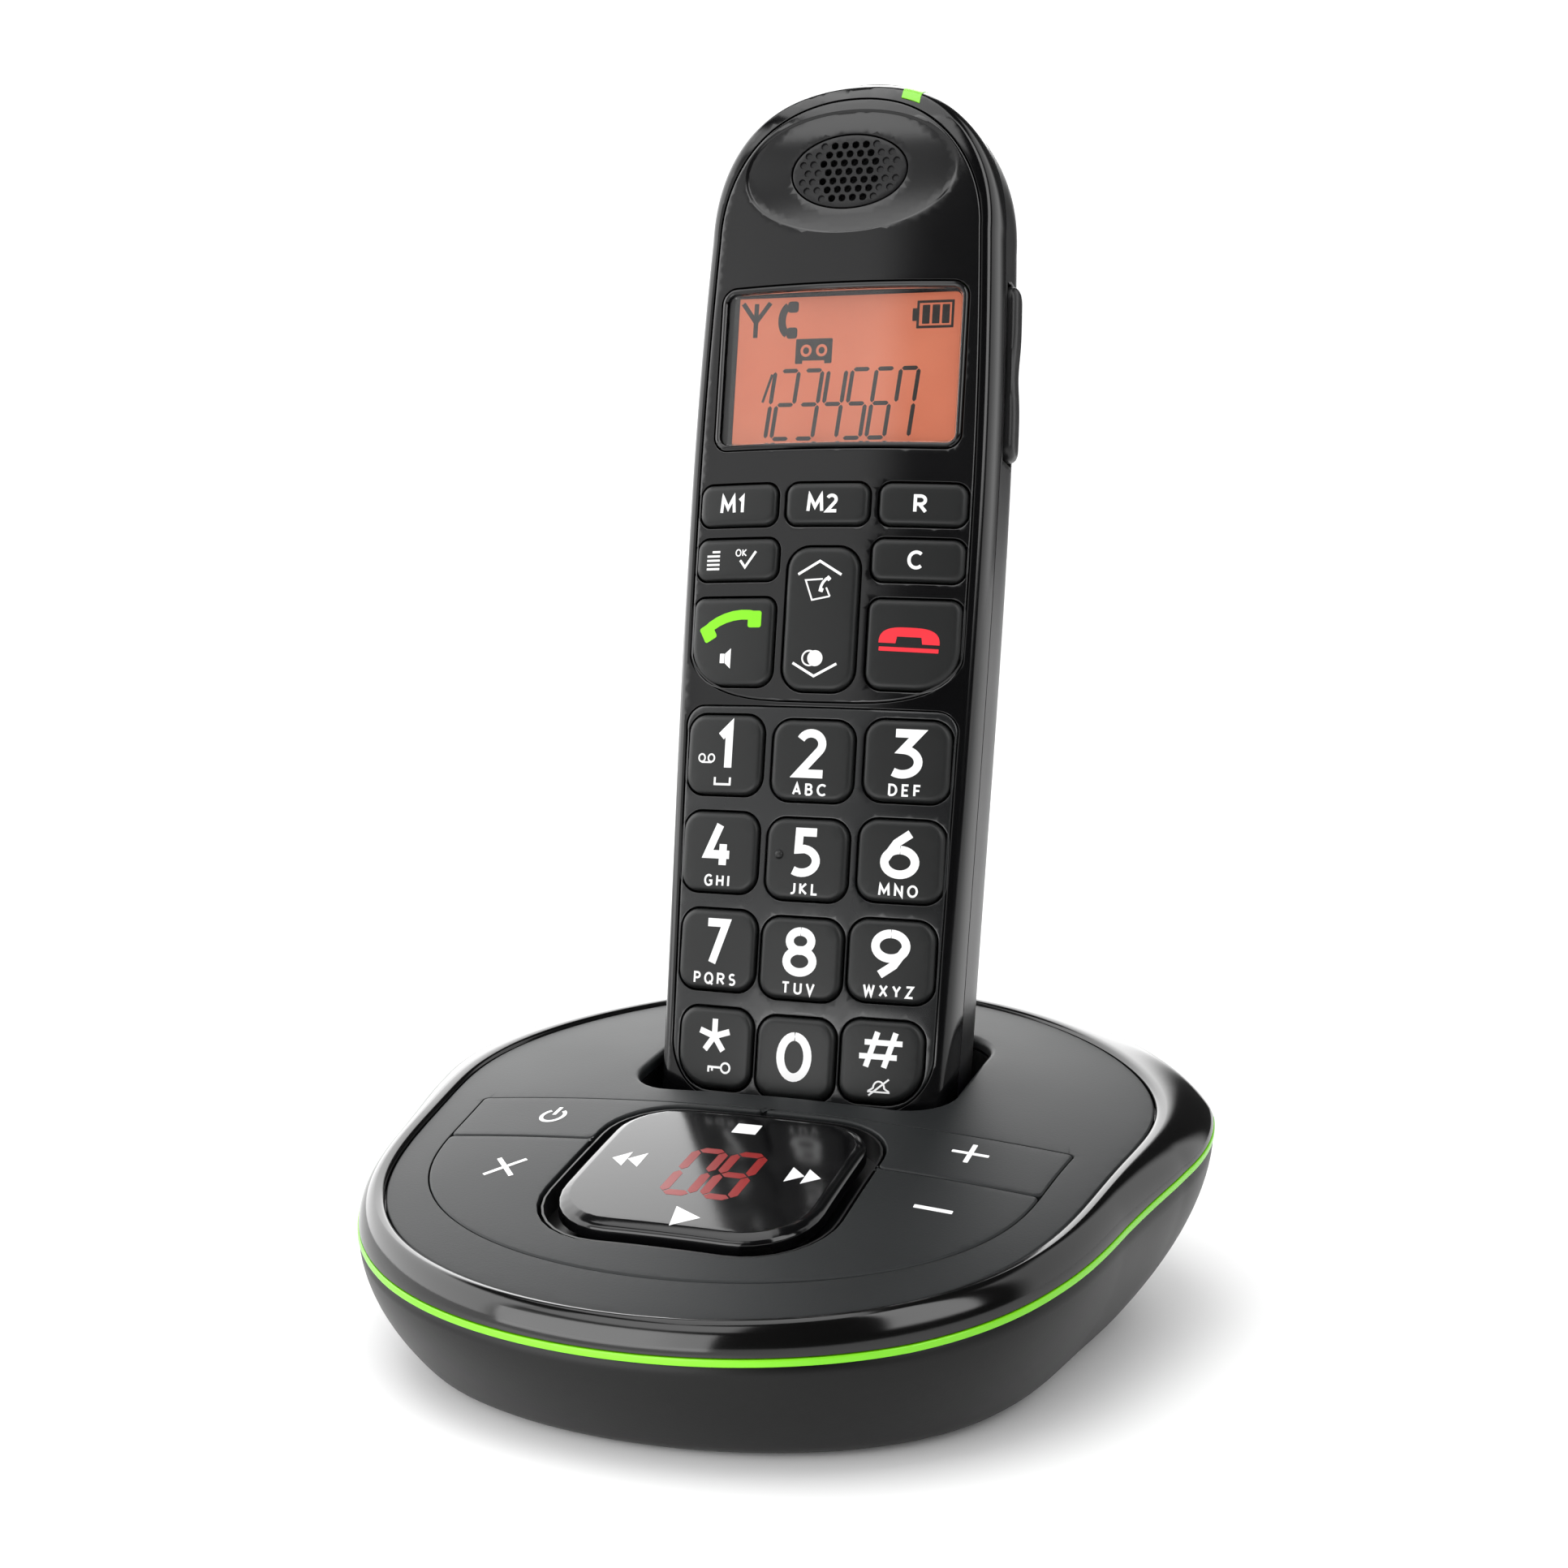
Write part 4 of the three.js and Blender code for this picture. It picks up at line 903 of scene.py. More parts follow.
def seven_segments(
    digit: str, width: float, height: float, pen: float, slant: float, gap: float
) -> list[Loop]:
    """Draw a digit in seven tapered segments.

    Args:
        digit: the digit.
        width, height: its size between the middles of its segments.
        pen: thickness of a segment.
        slant: how far its top leans over, as a share of the height.
        gap: space between segments.

    Returns:
        Its outlines, from its lower left corner.
    """
    middle = height / 2
    ends = {
        "a": ((0, height), (width, height)),
        "b": ((width, middle), (width, height)),
        "c": ((width, 0), (width, middle)),
        "d": ((0, 0), (width, 0)),
        "e": ((0, 0), (0, middle)),
        "f": ((0, middle), (0, height)),
        "g": ((0, middle), (width, middle)),
    }
    loops = []
    for name in LIT_SEGMENTS[digit]:
        a, b = (np.array(end, float) for end in ends[name])
        way = (b - a) / np.hypot(*(b - a))
        side = np.array([-way[1], way[0]]) * pen / 2
        a, b = a + way * gap, b - way * gap
        tip = way * pen / 2
        loop = np.array([a, a + tip - side, b - tip - side, b, b - tip + side, a + tip + side])
        loops.append(loop + np.outer(loop[:, 1] * slant, [1, 0]))
    return loops


# ---------------------------------------------------------------- handset
SEAM = 0.12              # half of the visible line between pieces that are clipped together
SHARP_EDGE: Profile = ((0.12, 0.0), (0.03, 0.03), (0.0, 0.12))
SHELL_ROLL: Profile = ((1.95, 0.0), (1.6, 0.1), (1.25, 0.32), (0.9, 0.75), (0.6, 1.4), (0.38, 2.2))


class Panel(Enum):
    """The two plates of the handset's face."""

    UPPER = "upper_face_panel"
    KEYPAD = "keypad_panel"


@dataclass(frozen=True)
class Key:
    """A key of the handset: its place, its size and what is printed on it."""

    name: str
    panel: Panel
    u: float
    v: float
    width: float
    height: float
    radii: tuple[float, float, float, float]
    text: str = ""
    letters: str = ""

    @property
    def body(self) -> str:
        """Return the body that the key moves with."""
        return "nav_body" if self.name == "nav_rocker" else self.name + "_body"

    def outline(self) -> Loop:
        """Return its outline on the face."""
        w, h = self.width / 2, self.height / 2
        return round_rect(self.u - w, self.v - h, self.u + w, self.v + h, self.radii)


@dataclass(frozen=True)
class HandsetForm:
    """Sizes of the handset, and the surfaces that follow from them."""

    length: float = 175.8
    half_width: float = 25.3
    depth: float = 27.0
    # outline: its widest height, how far foot and head are drawn in, and the powers of the arched top
    widest: float = 107.238
    foot_inset: float = 2.2
    foot_tuck: float = 0.8
    foot_round: float = 6.0
    head_inset: float = 1.1
    arch: float = 26.0
    arch_power_up: float = 2.15
    arch_power_across: float = 2.05
    # section: how far face and back fall in towards the top, the face's crown, the seam's depth
    face_fall: float = 6.0
    back_fall: float = 8.0
    back_tuck: float = 5.0
    back_power: float = 3.6
    crown: float = 0.0096
    split: float = 8.0
    # face: margins and ends of the two plates, the window, the earpiece and its dish
    margin: float = 2.6
    top_margin: float = 4.2
    keypad_low: float = 12.0
    keypad_high: float = 74.4
    upper_low: float = 75.2
    window: tuple[float, float, float, float] = (-20.4, 115.2, 20.4, 141.4)
    window_radius: float = 2.4
    ear_v: float = 159.4
    ear: tuple[float, float] = (9.5, 5.9)
    dish: tuple[float, float] = (17.8, 10.1)
    dish_step: float = 0.28
    dish_deep: float = 0.62
    # openings in the rear shell, as left, low, right, high or front, low, back, high
    side_key: tuple[float, float, float, float] = (9.6, 115.0, 15.2, 143.0)
    door: tuple[float, float, float, float] = (-14.5, 31.0, 14.5, 82.0)
    door_radius: float = 3.0

    @property
    def arch_start(self) -> float:
        """Return the height where the arched top starts."""
        return self.length - self.arch

    @property
    def head_half(self) -> float:
        """Return the half width where the arched top starts."""
        return self.half_width - self.head_inset

    def half_at(self, v: np.ndarray) -> np.ndarray:
        """Return the half width at a height."""
        v = np.asarray(v, float)
        t = np.clip((v - self.arch_start) / self.arch, 0, 1)
        arched = self.head_half * np.maximum(0, 1 - t**self.arch_power_up) ** (1 / self.arch_power_across)
        rise = np.clip((v - self.widest) / (self.arch_start - self.widest), 0, 1)
        upper = self.half_width - self.head_inset * rise**2
        low = self.half_width - self.foot_inset + self.foot_tuck
        tuck = self.foot_tuck * np.maximum(0, 1 - v / self.foot_round) ** 2
        lower = low + (self.half_width - low) * smooth(v / self.widest) - tuck
        return np.where(v >= self.arch_start, arched, np.where(v > self.widest, upper, lower))

    def top_at(self, u: float) -> float:
        """Return the height of the arched top's edge at a place across."""
        share = 1 - (u / self.head_half) ** self.arch_power_across
        return self.arch_start + self.arch * share ** (1 / self.arch_power_up)

    def front_at(self, v: np.ndarray) -> np.ndarray:
        """Return the depth of the face's middle at a height."""
        t = np.clip((np.asarray(v, float) - self.arch_start) / self.arch, 0, 1)
        return self.face_fall * t**5

    def back_at(self, v: np.ndarray) -> np.ndarray:
        """Return the depth of the back's middle at a height."""
        t = np.clip((np.asarray(v, float) - self.arch_start) / self.arch, 0, 1)
        return self.depth - self.back_fall * t**4 - self.back_tuck * np.clip((t - 0.6) / 0.4, 0, 1) ** 3

    def face(self, u: np.ndarray, v: np.ndarray) -> np.ndarray:
        """Return the depth of the face at a point."""
        reach = np.minimum(np.abs(u), 0.93 * self.half_at(v))
        front = self.front_at(v)
        return front + 0.5 * self.crown * reach**2 * (self.back_at(v) - front) / self.depth

    def side_start(self, v: np.ndarray) -> np.ndarray:
        """Return the depth where the round of the back starts."""
        return self.front_at(v) + 0.3 * (self.back_at(v) - self.front_at(v))

    def back(self, u: np.ndarray, v: np.ndarray) -> np.ndarray:
        """Return the depth of the back at a point."""
        share = np.clip(np.abs(u) / self.half_at(v), 0, 1) ** self.back_power
        start = self.side_start(v)
        return start + (self.back_at(v) - start) * (1 - share) ** (1 / self.back_power)

    def side(self, y: np.ndarray, v: np.ndarray) -> np.ndarray:
        """Return how far out the side wall is at a depth and a height."""
        start = self.side_start(v)
        share = np.clip((y - start) / (self.back_at(v) - start), 0, 1) ** self.back_power
        return self.half_at(v) * (1 - share) ** (1 / self.back_power)

    def dished(self, u: np.ndarray, v: np.ndarray) -> np.ndarray:
        """Return how deep the earpiece's dish is at a point."""
        q = np.sqrt((u / self.dish[0]) ** 2 + ((v - self.ear_v) / self.dish[1]) ** 2)
        return self.dish_step * smooth((1 - q) / 0.045) + self.dish_deep * np.clip(1 - q**2, 0, 1)

    def silhouette(self) -> Loop:
        """Return the handset's outline seen from the front."""
        levels = np.concatenate([np.linspace(0, 6, 7), np.arange(8, self.arch_start, 2.0)])
        angles = np.linspace(0, math.pi / 2, 46)[:-1]
        levels = np.concatenate([levels, self.arch_start + self.arch * np.sin(angles)])
        right = np.column_stack([self.half_at(levels), levels])
        left = right[::-1] * [-1, 1]
        return divided(np.concatenate([right, [[0, self.length]], left]), 1.2)

    def upper_outline(self) -> Loop:
        """Return the edge of the plate that holds window, function keys and earpiece."""
        corner = 7.2
        a = np.radians(np.linspace(6, 90, 15))
        wide = self.half_at(self.upper_low + corner) - self.margin
        low = np.column_stack([wide * np.sin(a) ** 0.55, self.upper_low + corner * (1 - np.cos(a) ** 1.3)])
        levels = np.arange(self.upper_low + corner + 2, self.arch_start, 2.0)
        sides = np.column_stack([self.half_at(levels) - self.margin, levels])
        b = np.radians(np.linspace(0, 90, 40))[:-1]
        high = self.length - self.top_margin
        head = np.column_stack(
            [
                (self.head_half - self.margin) * np.cos(b) ** 0.97,
                self.arch_start + (high - self.arch_start) * np.sin(b),
            ]
        )
        right = np.concatenate([low, sides, head])
        left = right[::-1] * [-1, 1]
        return divided(np.concatenate([[[0, self.upper_low]], right, [[0, high]], left]), 1.2)

    def keypad_outline(self) -> Loop:
        """Return the edge of the plate round the number keys."""
        corner, radius = 9.5, 3.2
        a = np.radians(np.linspace(6, 90, 15))
        wide = self.half_at(self.keypad_low + corner) - self.margin
        low = np.column_stack([wide * np.sin(a) ** 0.42, self.keypad_low + corner * (1 - np.cos(a) ** 1.15)])
        levels = np.arange(self.keypad_low + corner + 2, self.keypad_high - radius - 0.5, 2.0)
        sides = np.column_stack([self.half_at(levels) - self.margin, levels])
        top = float(self.half_at(self.keypad_high)) - self.margin
        bend = arc(top - radius, self.keypad_high - radius, radius, radius, 0, 90, 8)
        right = np.concatenate([low, sides, bend])
        return divided(np.concatenate([[[0, self.keypad_low]], right, right[::-1] * [-1, 1]]), 1.2)


def key_table() -> list[Key]:
    """List the handset's keys.

    Returns:
        Every key, with its place, size and printing.
    """
    pitch_low, pitch_high, row_pitch, first = 13.6, 15.0, 15.35, 20.0
    digit_high, wide, outer_rise = 12.6, 13.3, 0.53
    small, small_round, double_round = 6.6, (1.9,) * 4, (3.6,) * 4
    pair_u, pair_wide, pair_v, call_v, call_high = 14.9, 14.4, 97.6, 84.5, 14.0
    rows = (
        (("star", "", ""), ("0", "0", ""), ("hash", "#", "")),
        (("7", "7", "PQRS"), ("8", "8", "TUV"), ("9", "9", "WXYZ")),
        (("4", "4", "GHI"), ("5", "5", "JKL"), ("6", "6", "MNO")),
        (("1", "1", ""), ("2", "2", "ABC"), ("3", "3", "DEF")),
    )
    keys = []
    for r, row in enumerate(rows):
        pitch = lerp(pitch_low, pitch_high, min(1.0, r / 2.2))
        width = min(wide, pitch - 0.9)
        for c, (name, text, letters) in enumerate(row):
            radii = (5.6 if name == "star" else 3.0, 5.6 if name == "hash" else 3.0, 3.0, 3.0)
            u, v = (c - 1) * pitch, first + r * row_pitch + (0.0 if c == 1 else outer_rise)
            keys.append(Key("key_" + name, Panel.KEYPAD, u, v, width, digit_high, radii, text, letters))
    for c, (name, text) in enumerate((("m1", "M1"), ("m2", "M2"), ("r", "R"))):
        keys.append(Key("key_" + name, Panel.UPPER, (c - 1) * 15.2, 106.3, 13.6, small, small_round, text))
    keys.append(Key("menu_ok_key", Panel.UPPER, -pair_u, pair_v, pair_wide, small, small_round))
    keys.append(Key("clear_key", Panel.UPPER, pair_u, pair_v, pair_wide, small, small_round, "C"))
    keys.append(Key("talk_key", Panel.UPPER, -pair_u, call_v, pair_wide, call_high, (6.5, 2.6, 1.8, 1.8)))
    keys.append(Key("end_key", Panel.UPPER, pair_u, call_v, pair_wide, call_high, (2.6, 6.5, 1.8, 1.8)))
    keys.append(Key("nav_rocker", Panel.UPPER, 0.0, 88.2, 11.8, 22.6, double_round))
    return keys


def display_signs() -> list[Loop]:
    """Draw the display's digits and signs.

    Returns:
        Their outlines.
    """
    loops: list[Loop] = []
    for i, digit in enumerate("1234567"):
        segments = seven_segments(digit, 2.9, 10.9, 0.66, 0.105, 0.12)
        loops += moved(segments, -15.0 + 3.95 * i, 117.3)
    loops += ribbon(np.array([[-12.9, 123.2], [-11.5, 127.7]]), 0.42)
    mast, arms = [(-14.8, 133.7), (-14.8, 139.2)], [(-17.1, 139.3), (-14.8, 136.2), (-12.5, 139.3)]
    for line in (mast, arms):
        loops += ribbon(np.array(line, float), 0.75)
    loops += ribbon(trace([(-8.9, 136.4, 1.5, 2.4, 110, 250)]), 1.25)
    loops += [round_rect(-9.5, 137.6, -7.7, 139.4, 0.5), round_rect(-9.5, 133.4, -7.7, 135.2, 0.5)]
    left, right, low, high, wall = 11.9, 17.9, 134.4, 138.8, 0.4
    loops += [round_rect(left, edge, right, edge + wall, 0.1) for edge in (low, high - wall)]
    loops += [round_rect(edge, low, edge + wall, high, 0.1) for edge in (left, right - wall)]
    loops.append(round_rect(left - 0.7, 135.6, left + 0.1, 137.6, 0.1))
    loops += [round_rect(12.8 + 1.6 * i, 135.1, 14.0 + 1.6 * i, 138.1, 0.1) for i in range(3)]
    loops.append(round_rect(-7.8, 129.3, -1.7, 133.3, 0.2))
    return loops


def star_signs(u: float, v: float) -> list[Loop]:
    """Draw the star and the small key under it."""
    loops: list[Loop] = []
    middle, arm = np.array([u, v + 1.9]), 2.7
    for k in range(5):
        a = math.radians(90 + 72 * k)
        loops += ribbon(np.array([middle, middle + [arm * math.cos(a), arm * math.sin(a)]]), 0.95)
    shaft = v - 2.9
    loops += ribbon(trace([(u + 2.2, shaft, 0.75, 0.75, 90, 450)]), 0.32)
    loops += ribbon(np.array([[u + 1.4, shaft], [u - 0.9, shaft]]), 0.34)
    for bit, low in ((u - 0.75, v - 3.7), (u - 0.1, v - 3.5)):
        loops += ribbon(np.array([[bit, shaft], [bit, low]]), 0.34)
    return loops


def bell_sign(u: float, v: float) -> list[Loop]:
    """Draw the crossed bell under the hash sign."""
    y = v - 3.9
    dome = (u, y, 0.85, 1.0, 180, 0)
    bell = trace([(u - 1.6, y - 0.5), (u - 1.1, y - 0.2), dome, (u + 1.1, y - 0.2), (u + 1.6, y - 0.5)])
    loops = ribbon(bell, 0.26)
    loops += ribbon(np.array([[u - 1.7, y - 0.6], [u + 1.7, y - 0.6]]), 0.26)
    return loops + ribbon(np.array([[u - 1.5, y - 1.2], [u + 1.5, y + 1.4]]), 0.28)


def tape_sign(u: float, v: float) -> list[Loop]:
    """Draw the message reel and the space bracket beside the one."""
    x, y = u - 3.0, v - 0.6
    loops: list[Loop] = []
    for s in (-1, 1):
        loops += ribbon(trace([(x + s * 0.85, y, 0.55, 0.6, 90, 450)]), 0.26)
    loops += ribbon(np.array([[x - 0.9, y - 0.68], [x + 0.9, y - 0.68]]), 0.26)
    bracket = [(u - 1.3, v - 3.6), (u - 1.3, v - 4.7), (u + 1.4, v - 4.7), (u + 1.4, v - 3.6)]
    return loops + ribbon(np.array(bracket), 0.34)


def menu_signs(u: float, v: float) -> list[Loop]:
    """Draw the menu lines, the letters over the tick, and the tick."""
    left, right = u - 5.2, u - 2.9
    loops: list[Loop] = []
    for k in range(5):
        start = left + (0.9 if k == 0 else 0.0)
        loops += ribbon(np.array([[start, v + 1.2 - 0.68 * k], [right, v + 1.2 - 0.68 * k]]), 0.34)
    loops += lettering("OK", 1.2, 0.2, u + 0.9, v + 1.0, 0.8)
    return loops + ribbon(np.array([[u + 0.8, v - 0.2], [u + 1.7, v - 1.3], [u + 3.5, v + 1.2]]), 0.4)


def nav_signs(u: float, v: float) -> list[Loop]:
    """Draw the two arrows, the phone book and the list of calls."""
    loops = ribbon(np.array([[u - 3.9, v + 6.9], [u - 0.4, v + 9.0], [u + 3.2, v + 6.9]]), 0.4)
    loops += ribbon(np.array([[u - 4.0, v - 7.0], [u - 0.4, v - 9.0], [u + 3.2, v - 7.0]]), 0.4)
    book = np.array([[u - 2.6, v + 6.0], [u - 1.4, v + 2.9], [u + 1.5, v + 3.5], [u + 0.2, v + 6.2]])
    loops += ribbon(np.concatenate([book[3:], book[:3], book[2:3]])[:4], 0.26)
    loops += ribbon(np.array([book[2], (book[2] + book[3]) / 2]), 0.26)
    loops += moved(receiver(2.7, 0.42), u + 0.25, v + 5.6, 58)
    loops += ribbon(trace([(u - 1.3, v - 6.2, 1.15, 1.15, 90, 450)]), 0.26)
    return loops + [ellipse(u - 0.35, v - 6.2, 1.25, 1.25, 28)]


def speaker_sign(u: float, v: float) -> list[Loop]:
    """Draw the loudspeaker on the talk key."""
    x, y = u - 0.8, v - 2.7
    cone = np.array([[x + 0.9, y - 1.6], [x + 0.9, y + 1.6], [x - 0.1, y + 0.75], [x - 0.1, y - 0.75]])
    return [cone[::-1], round_rect(x - 1.0, y - 0.75, x - 0.2, y + 0.75, 0.1)]


def nub(u: float, v: float) -> Skin:
    """Make the small raised dot that fingers find in the middle of the number keys."""
    profile = ((0.75, 0.3), (0.7, -0.12), (0.52, -0.32), (0.26, -0.43), (0.05, -0.45))
    rings = [np.column_stack([ellipse(u, v, r, r, 20), np.full(20, depth)]) for r, depth in profile]
    return Skin.loft(np.array(rings))


KEY_SIGNS: dict[str, Callable[[float, float], list[Loop]]] = {
    "key_star": star_signs,
    "key_hash": bell_sign,
    "key_1": tape_sign,
    "menu_ok_key": menu_signs,
    "nav_rocker": nav_signs,
    "talk_key": speaker_sign,
}


def key_printing(key: Key) -> list[tuple[str, list[Loop], Finish]]:
    """Draw what is printed on a key.

    Args:
        key: the key.

    Returns:
        A word for each layer, its outlines and its ink.
    """
    u, v = key.u, key.v
    white: list[Loop] = []
    if key.panel is Panel.KEYPAD and key.text:
        up = {"key_0": 0.3, "key_hash": 1.9}.get(key.name, 1.1)
        tall = 6.2 if key.text == "#" else 7.6
        pen = 0.85 if key.text == "#" else 1.3
        white += lettering(key.text, tall, pen, u + (0.2 if key.name == "key_1" else 0.0), v + up)
    if key.letters:
        white += lettering(key.letters, 1.9, 0.33, u, v - 4.5, 1.9)
    if key.panel is Panel.UPPER and key.text:
        left = {"key_m1": 0.9, "key_m2": 0.6}.get(key.name, 0.2)
        white += lettering(key.text, 2.95, 0.52, u - left, v, 0.7)
    if key.name in KEY_SIGNS:
        white += KEY_SIGNS[key.name](u, v)
    layers = [("print", white, WHITE_INK)] if white else []
    if key.name == "talk_key":
        layers.append(("call_sign", moved(receiver(10.6, 1.55), u - 0.5, v + 3.9, 15), GREEN_INK))
    if key.name == "end_key":
        layers.append(("hang_up_sign", moved(hung_up(9.4, 2.5), u - 0.5, v + 0.1, -1.0), RED_INK))
    return layers


def cut_block(outline: Loop, front: float, back: float) -> bpy.types.Object:
    """Make a cutter from an outline on the face and two depths."""
    u, v = outline.T
    rings = [np.column_stack([u, np.full(len(u), y), v]) for y in (front, back)]
    return build("cutter", Skin.loft(np.array(rings)), HANDSET)


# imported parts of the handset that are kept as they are, with a finish
HANDSET_INSIDE = {
    "battery_holder": SATIN_ABS,
    "battery_left": WRAP,
    "battery_right": WRAP,
    "handset_board": RESIST,
    "keypad_mat": RUBBER,
    "earpiece_speaker": RUBBER,
    "charge_pad_left": NICKEL,
    "charge_pad_right": NICKEL,
}


@dataclass
class Handset:
    """The handset: shells, face plates, window, keys and earpiece."""

    form: HandsetForm
    front_wall: float = 1.5
    key_proud: float = 0.7
    key_gap: float = 0.3
    seat_gap: float = 0.15
    lcd_depth: float = 3.2
    body: str = "handset"

    def over(self, lift: float = 0.0, limit: float = 99.0) -> Surface:
        """Return the surface that lays a plate on the face.

        Args:
            lift: how far it stands proud.
            limit: the greatest depth.
        """

        def lay(points: np.ndarray) -> np.ndarray:
            """Move rows of across, up and depth to the handset's frame."""
            u, v, d = points.T
            return np.column_stack([u, np.minimum(self.form.face(u, v) - lift + d, limit), v])

        return lay

    def in_dish(self, lift: float = 0.0) -> Surface:
        """Return the surface that lays a plate on the face and into the earpiece's dish."""

        def lay(points: np.ndarray) -> np.ndarray:
            """Move rows of across, up and depth to the handset's frame."""
            u, v, d = points.T
            return np.column_stack([u, self.form.face(u, v) + self.form.dished(u, v) - lift + d, v])

        return lay

    def make(self) -> None:
        """Build every piece of the handset."""
        keys = key_table()
        self.front_shell()
        self.panels(keys)
        self.earpiece()
        self.window()
        self.display()
        self.keys(keys)
        self.lamp()
        self.rear_shell()
        self.side_rocker()
        self.battery_door()
        for node, finish in HANDSET_INSIDE.items():
            redress(node, finish)

    def front_shell(self) -> None:
        """Build the front shell, a rim round the pockets of the two face plates."""
        f = self.form
        rim = (*SHELL_ROLL, (0.2, 3.2), (0.07, 4.4), (0.0, 9.0))
        pocket = (*SHARP_EDGE, (0.0, 9.0))
        holes = [(grown(loop, SEAM), pocket) for loop in (f.upper_outline(), f.keypad_outline())]
        skin = Skin.plate(f.silhouette(), holes, rim, 1.4)
        shell = build("front_shell_rim", skin.mapped(self.over(limit=f.split - 0.15)), HANDSET)
        dress(shell, POLISHED_ABS, self.body, ["front_shell"])

    def panels(self, keys: Sequence[Key]) -> None:
        """Build the two face plates with their openings.

        Args:
            keys: the keys that come through them.
        """
        f = self.form
        edge = ((0.42, 0.0), (0.2, 0.05), (0.06, 0.18), (0.0, 0.42), (0.0, self.front_wall))
        bore = ((0.2, 0.0), (0.06, 0.05), (0.0, 0.2), (0.0, self.front_wall))
        for panel, outline, finish in (
            (Panel.UPPER, f.upper_outline(), FACE_ABS),
            (Panel.KEYPAD, f.keypad_outline(), KEYPAD_ABS),
        ):
            holes = [(grown(key.outline(), self.key_gap), bore) for key in keys if key.panel is panel]
            creases: list[Loop] = []
            if panel is Panel.UPPER:
                window = round_rect(*f.window, f.window_radius)
                ear = ellipse(0, f.ear_v, f.ear[0] + self.seat_gap, f.ear[1] + self.seat_gap, 72)
                holes += [(grown(window, self.seat_gap), bore), (ear, bore)]
                shares = (1.0, 0.985, 0.97, 0.955)
                creases = [ellipse(0, f.ear_v, f.dish[0] * q, f.dish[1] * q, 96) for q in shares]
            skin = Skin.plate(outline, holes, edge, 1.1, creases)
            plate = build(panel.value + "_moulding", skin.mapped(self.in_dish()), HANDSET, 30)
            dress(plate, finish, self.body, [panel.value])

    def earpiece(self) -> None:
        """Build the earpiece grille: rows of open holes, and dimples that carry the pattern to the edge."""
        f = self.form
        pitch, radius = 1.72, 0.58
        rows = (4, 5, 6, 5, 6, 5, 4)
        open_holes, dimples = [], []
        for r, count in enumerate(rows):
            v = f.ear_v + (3 - r) * pitch * 0.82
            for i in range(-5, 6):
                u = (i + (0.5 if count % 2 == 0 else 0.0)) * pitch
                if abs(u) <= (count - 1) / 2 * pitch + 0.01:
                    open_holes.append((u, v))
                elif (u / (f.ear[0] - 1.2)) ** 2 + ((v - f.ear_v) / (f.ear[1] - 0.2)) ** 2 < 1:
                    dimples.append((u, v))
        bore = ((0.08, 0.0), (0.0, 0.08), (0.0, 1.0))
        edge = ((0.3, 0.0), (0.1, 0.06), (0.0, 0.3), (0.0, 1.0))
        holes = [(ellipse(u, v, radius, radius, 16), bore) for u, v in open_holes]
        creases = [ellipse(u, v, radius * q, radius * q, 14) for u, v in dimples for q in (1.0, 0.8)]
        skin = Skin.plate(ellipse(0, f.ear_v, *f.ear, 72), holes, edge, 0.8, creases)
        lay = self.in_dish()

        def dimpled(points: np.ndarray) -> np.ndarray:
            """Lay the grille in the dish and press the dimples in."""
            points = points.copy()
            for u, v in dimples:
                near = np.hypot(points[:, 0] - u, points[:, 1] - v) < radius * 0.85
                points[near & (points[:, 2] < 0.01), 2] += 0.3
            return lay(points)

        grille = build("earpiece_grille_moulding", skin.mapped(dimpled), HANDSET, 30)
        dress(grille, SATIN_ABS, self.body, ["earpiece_grille"])

    def window(self) -> None:
        """Build the frame round the display and the clear window in it."""
        f = self.form
        frame_edge = ((0.5, 0.0), (0.22, 0.06), (0.05, 0.24), (0.0, 0.5), (0.0, 5.0))
        opening = ((0.55, 0.0), (0.3, 0.07), (0.1, 0.26), (0.0, 0.6), (0.0, 4.2), (-0.4, 4.2), (-0.4, 5.0))
        outline = round_rect(*f.window, f.window_radius)
        hole = grown(outline, -0.95)
        skin = Skin.plate(outline, [(hole, opening)], frame_edge, 1.0)
        surround = build("display_surround", skin.mapped(self.over(0.22, self.lcd_depth - 0.05)), HANDSET, 30)
        dress(surround, POLISHED_ABS, self.body)
        pane = Skin.plate(grown(hole, -0.05), [], ((0.1, 0.0), (0.0, 0.1), (0.0, 0.9)), 1.2)
        clear = build("display_window", pane.mapped(self.over(-0.5)), HANDSET)
        dress(clear, WINDOW_PMMA, self.body, ["display_lens"])

    def display(self) -> None:
        """Build the lit display glass, a dark strip of painted shade along its left edge, and everything that
        shows on it.
        """
        depth = self.lcd_depth

        def level(points: np.ndarray) -> np.ndarray:
            """Lay a plate on the display's flat glass."""
            return np.column_stack([points[:, 0], depth + points[:, 2], points[:, 1]])

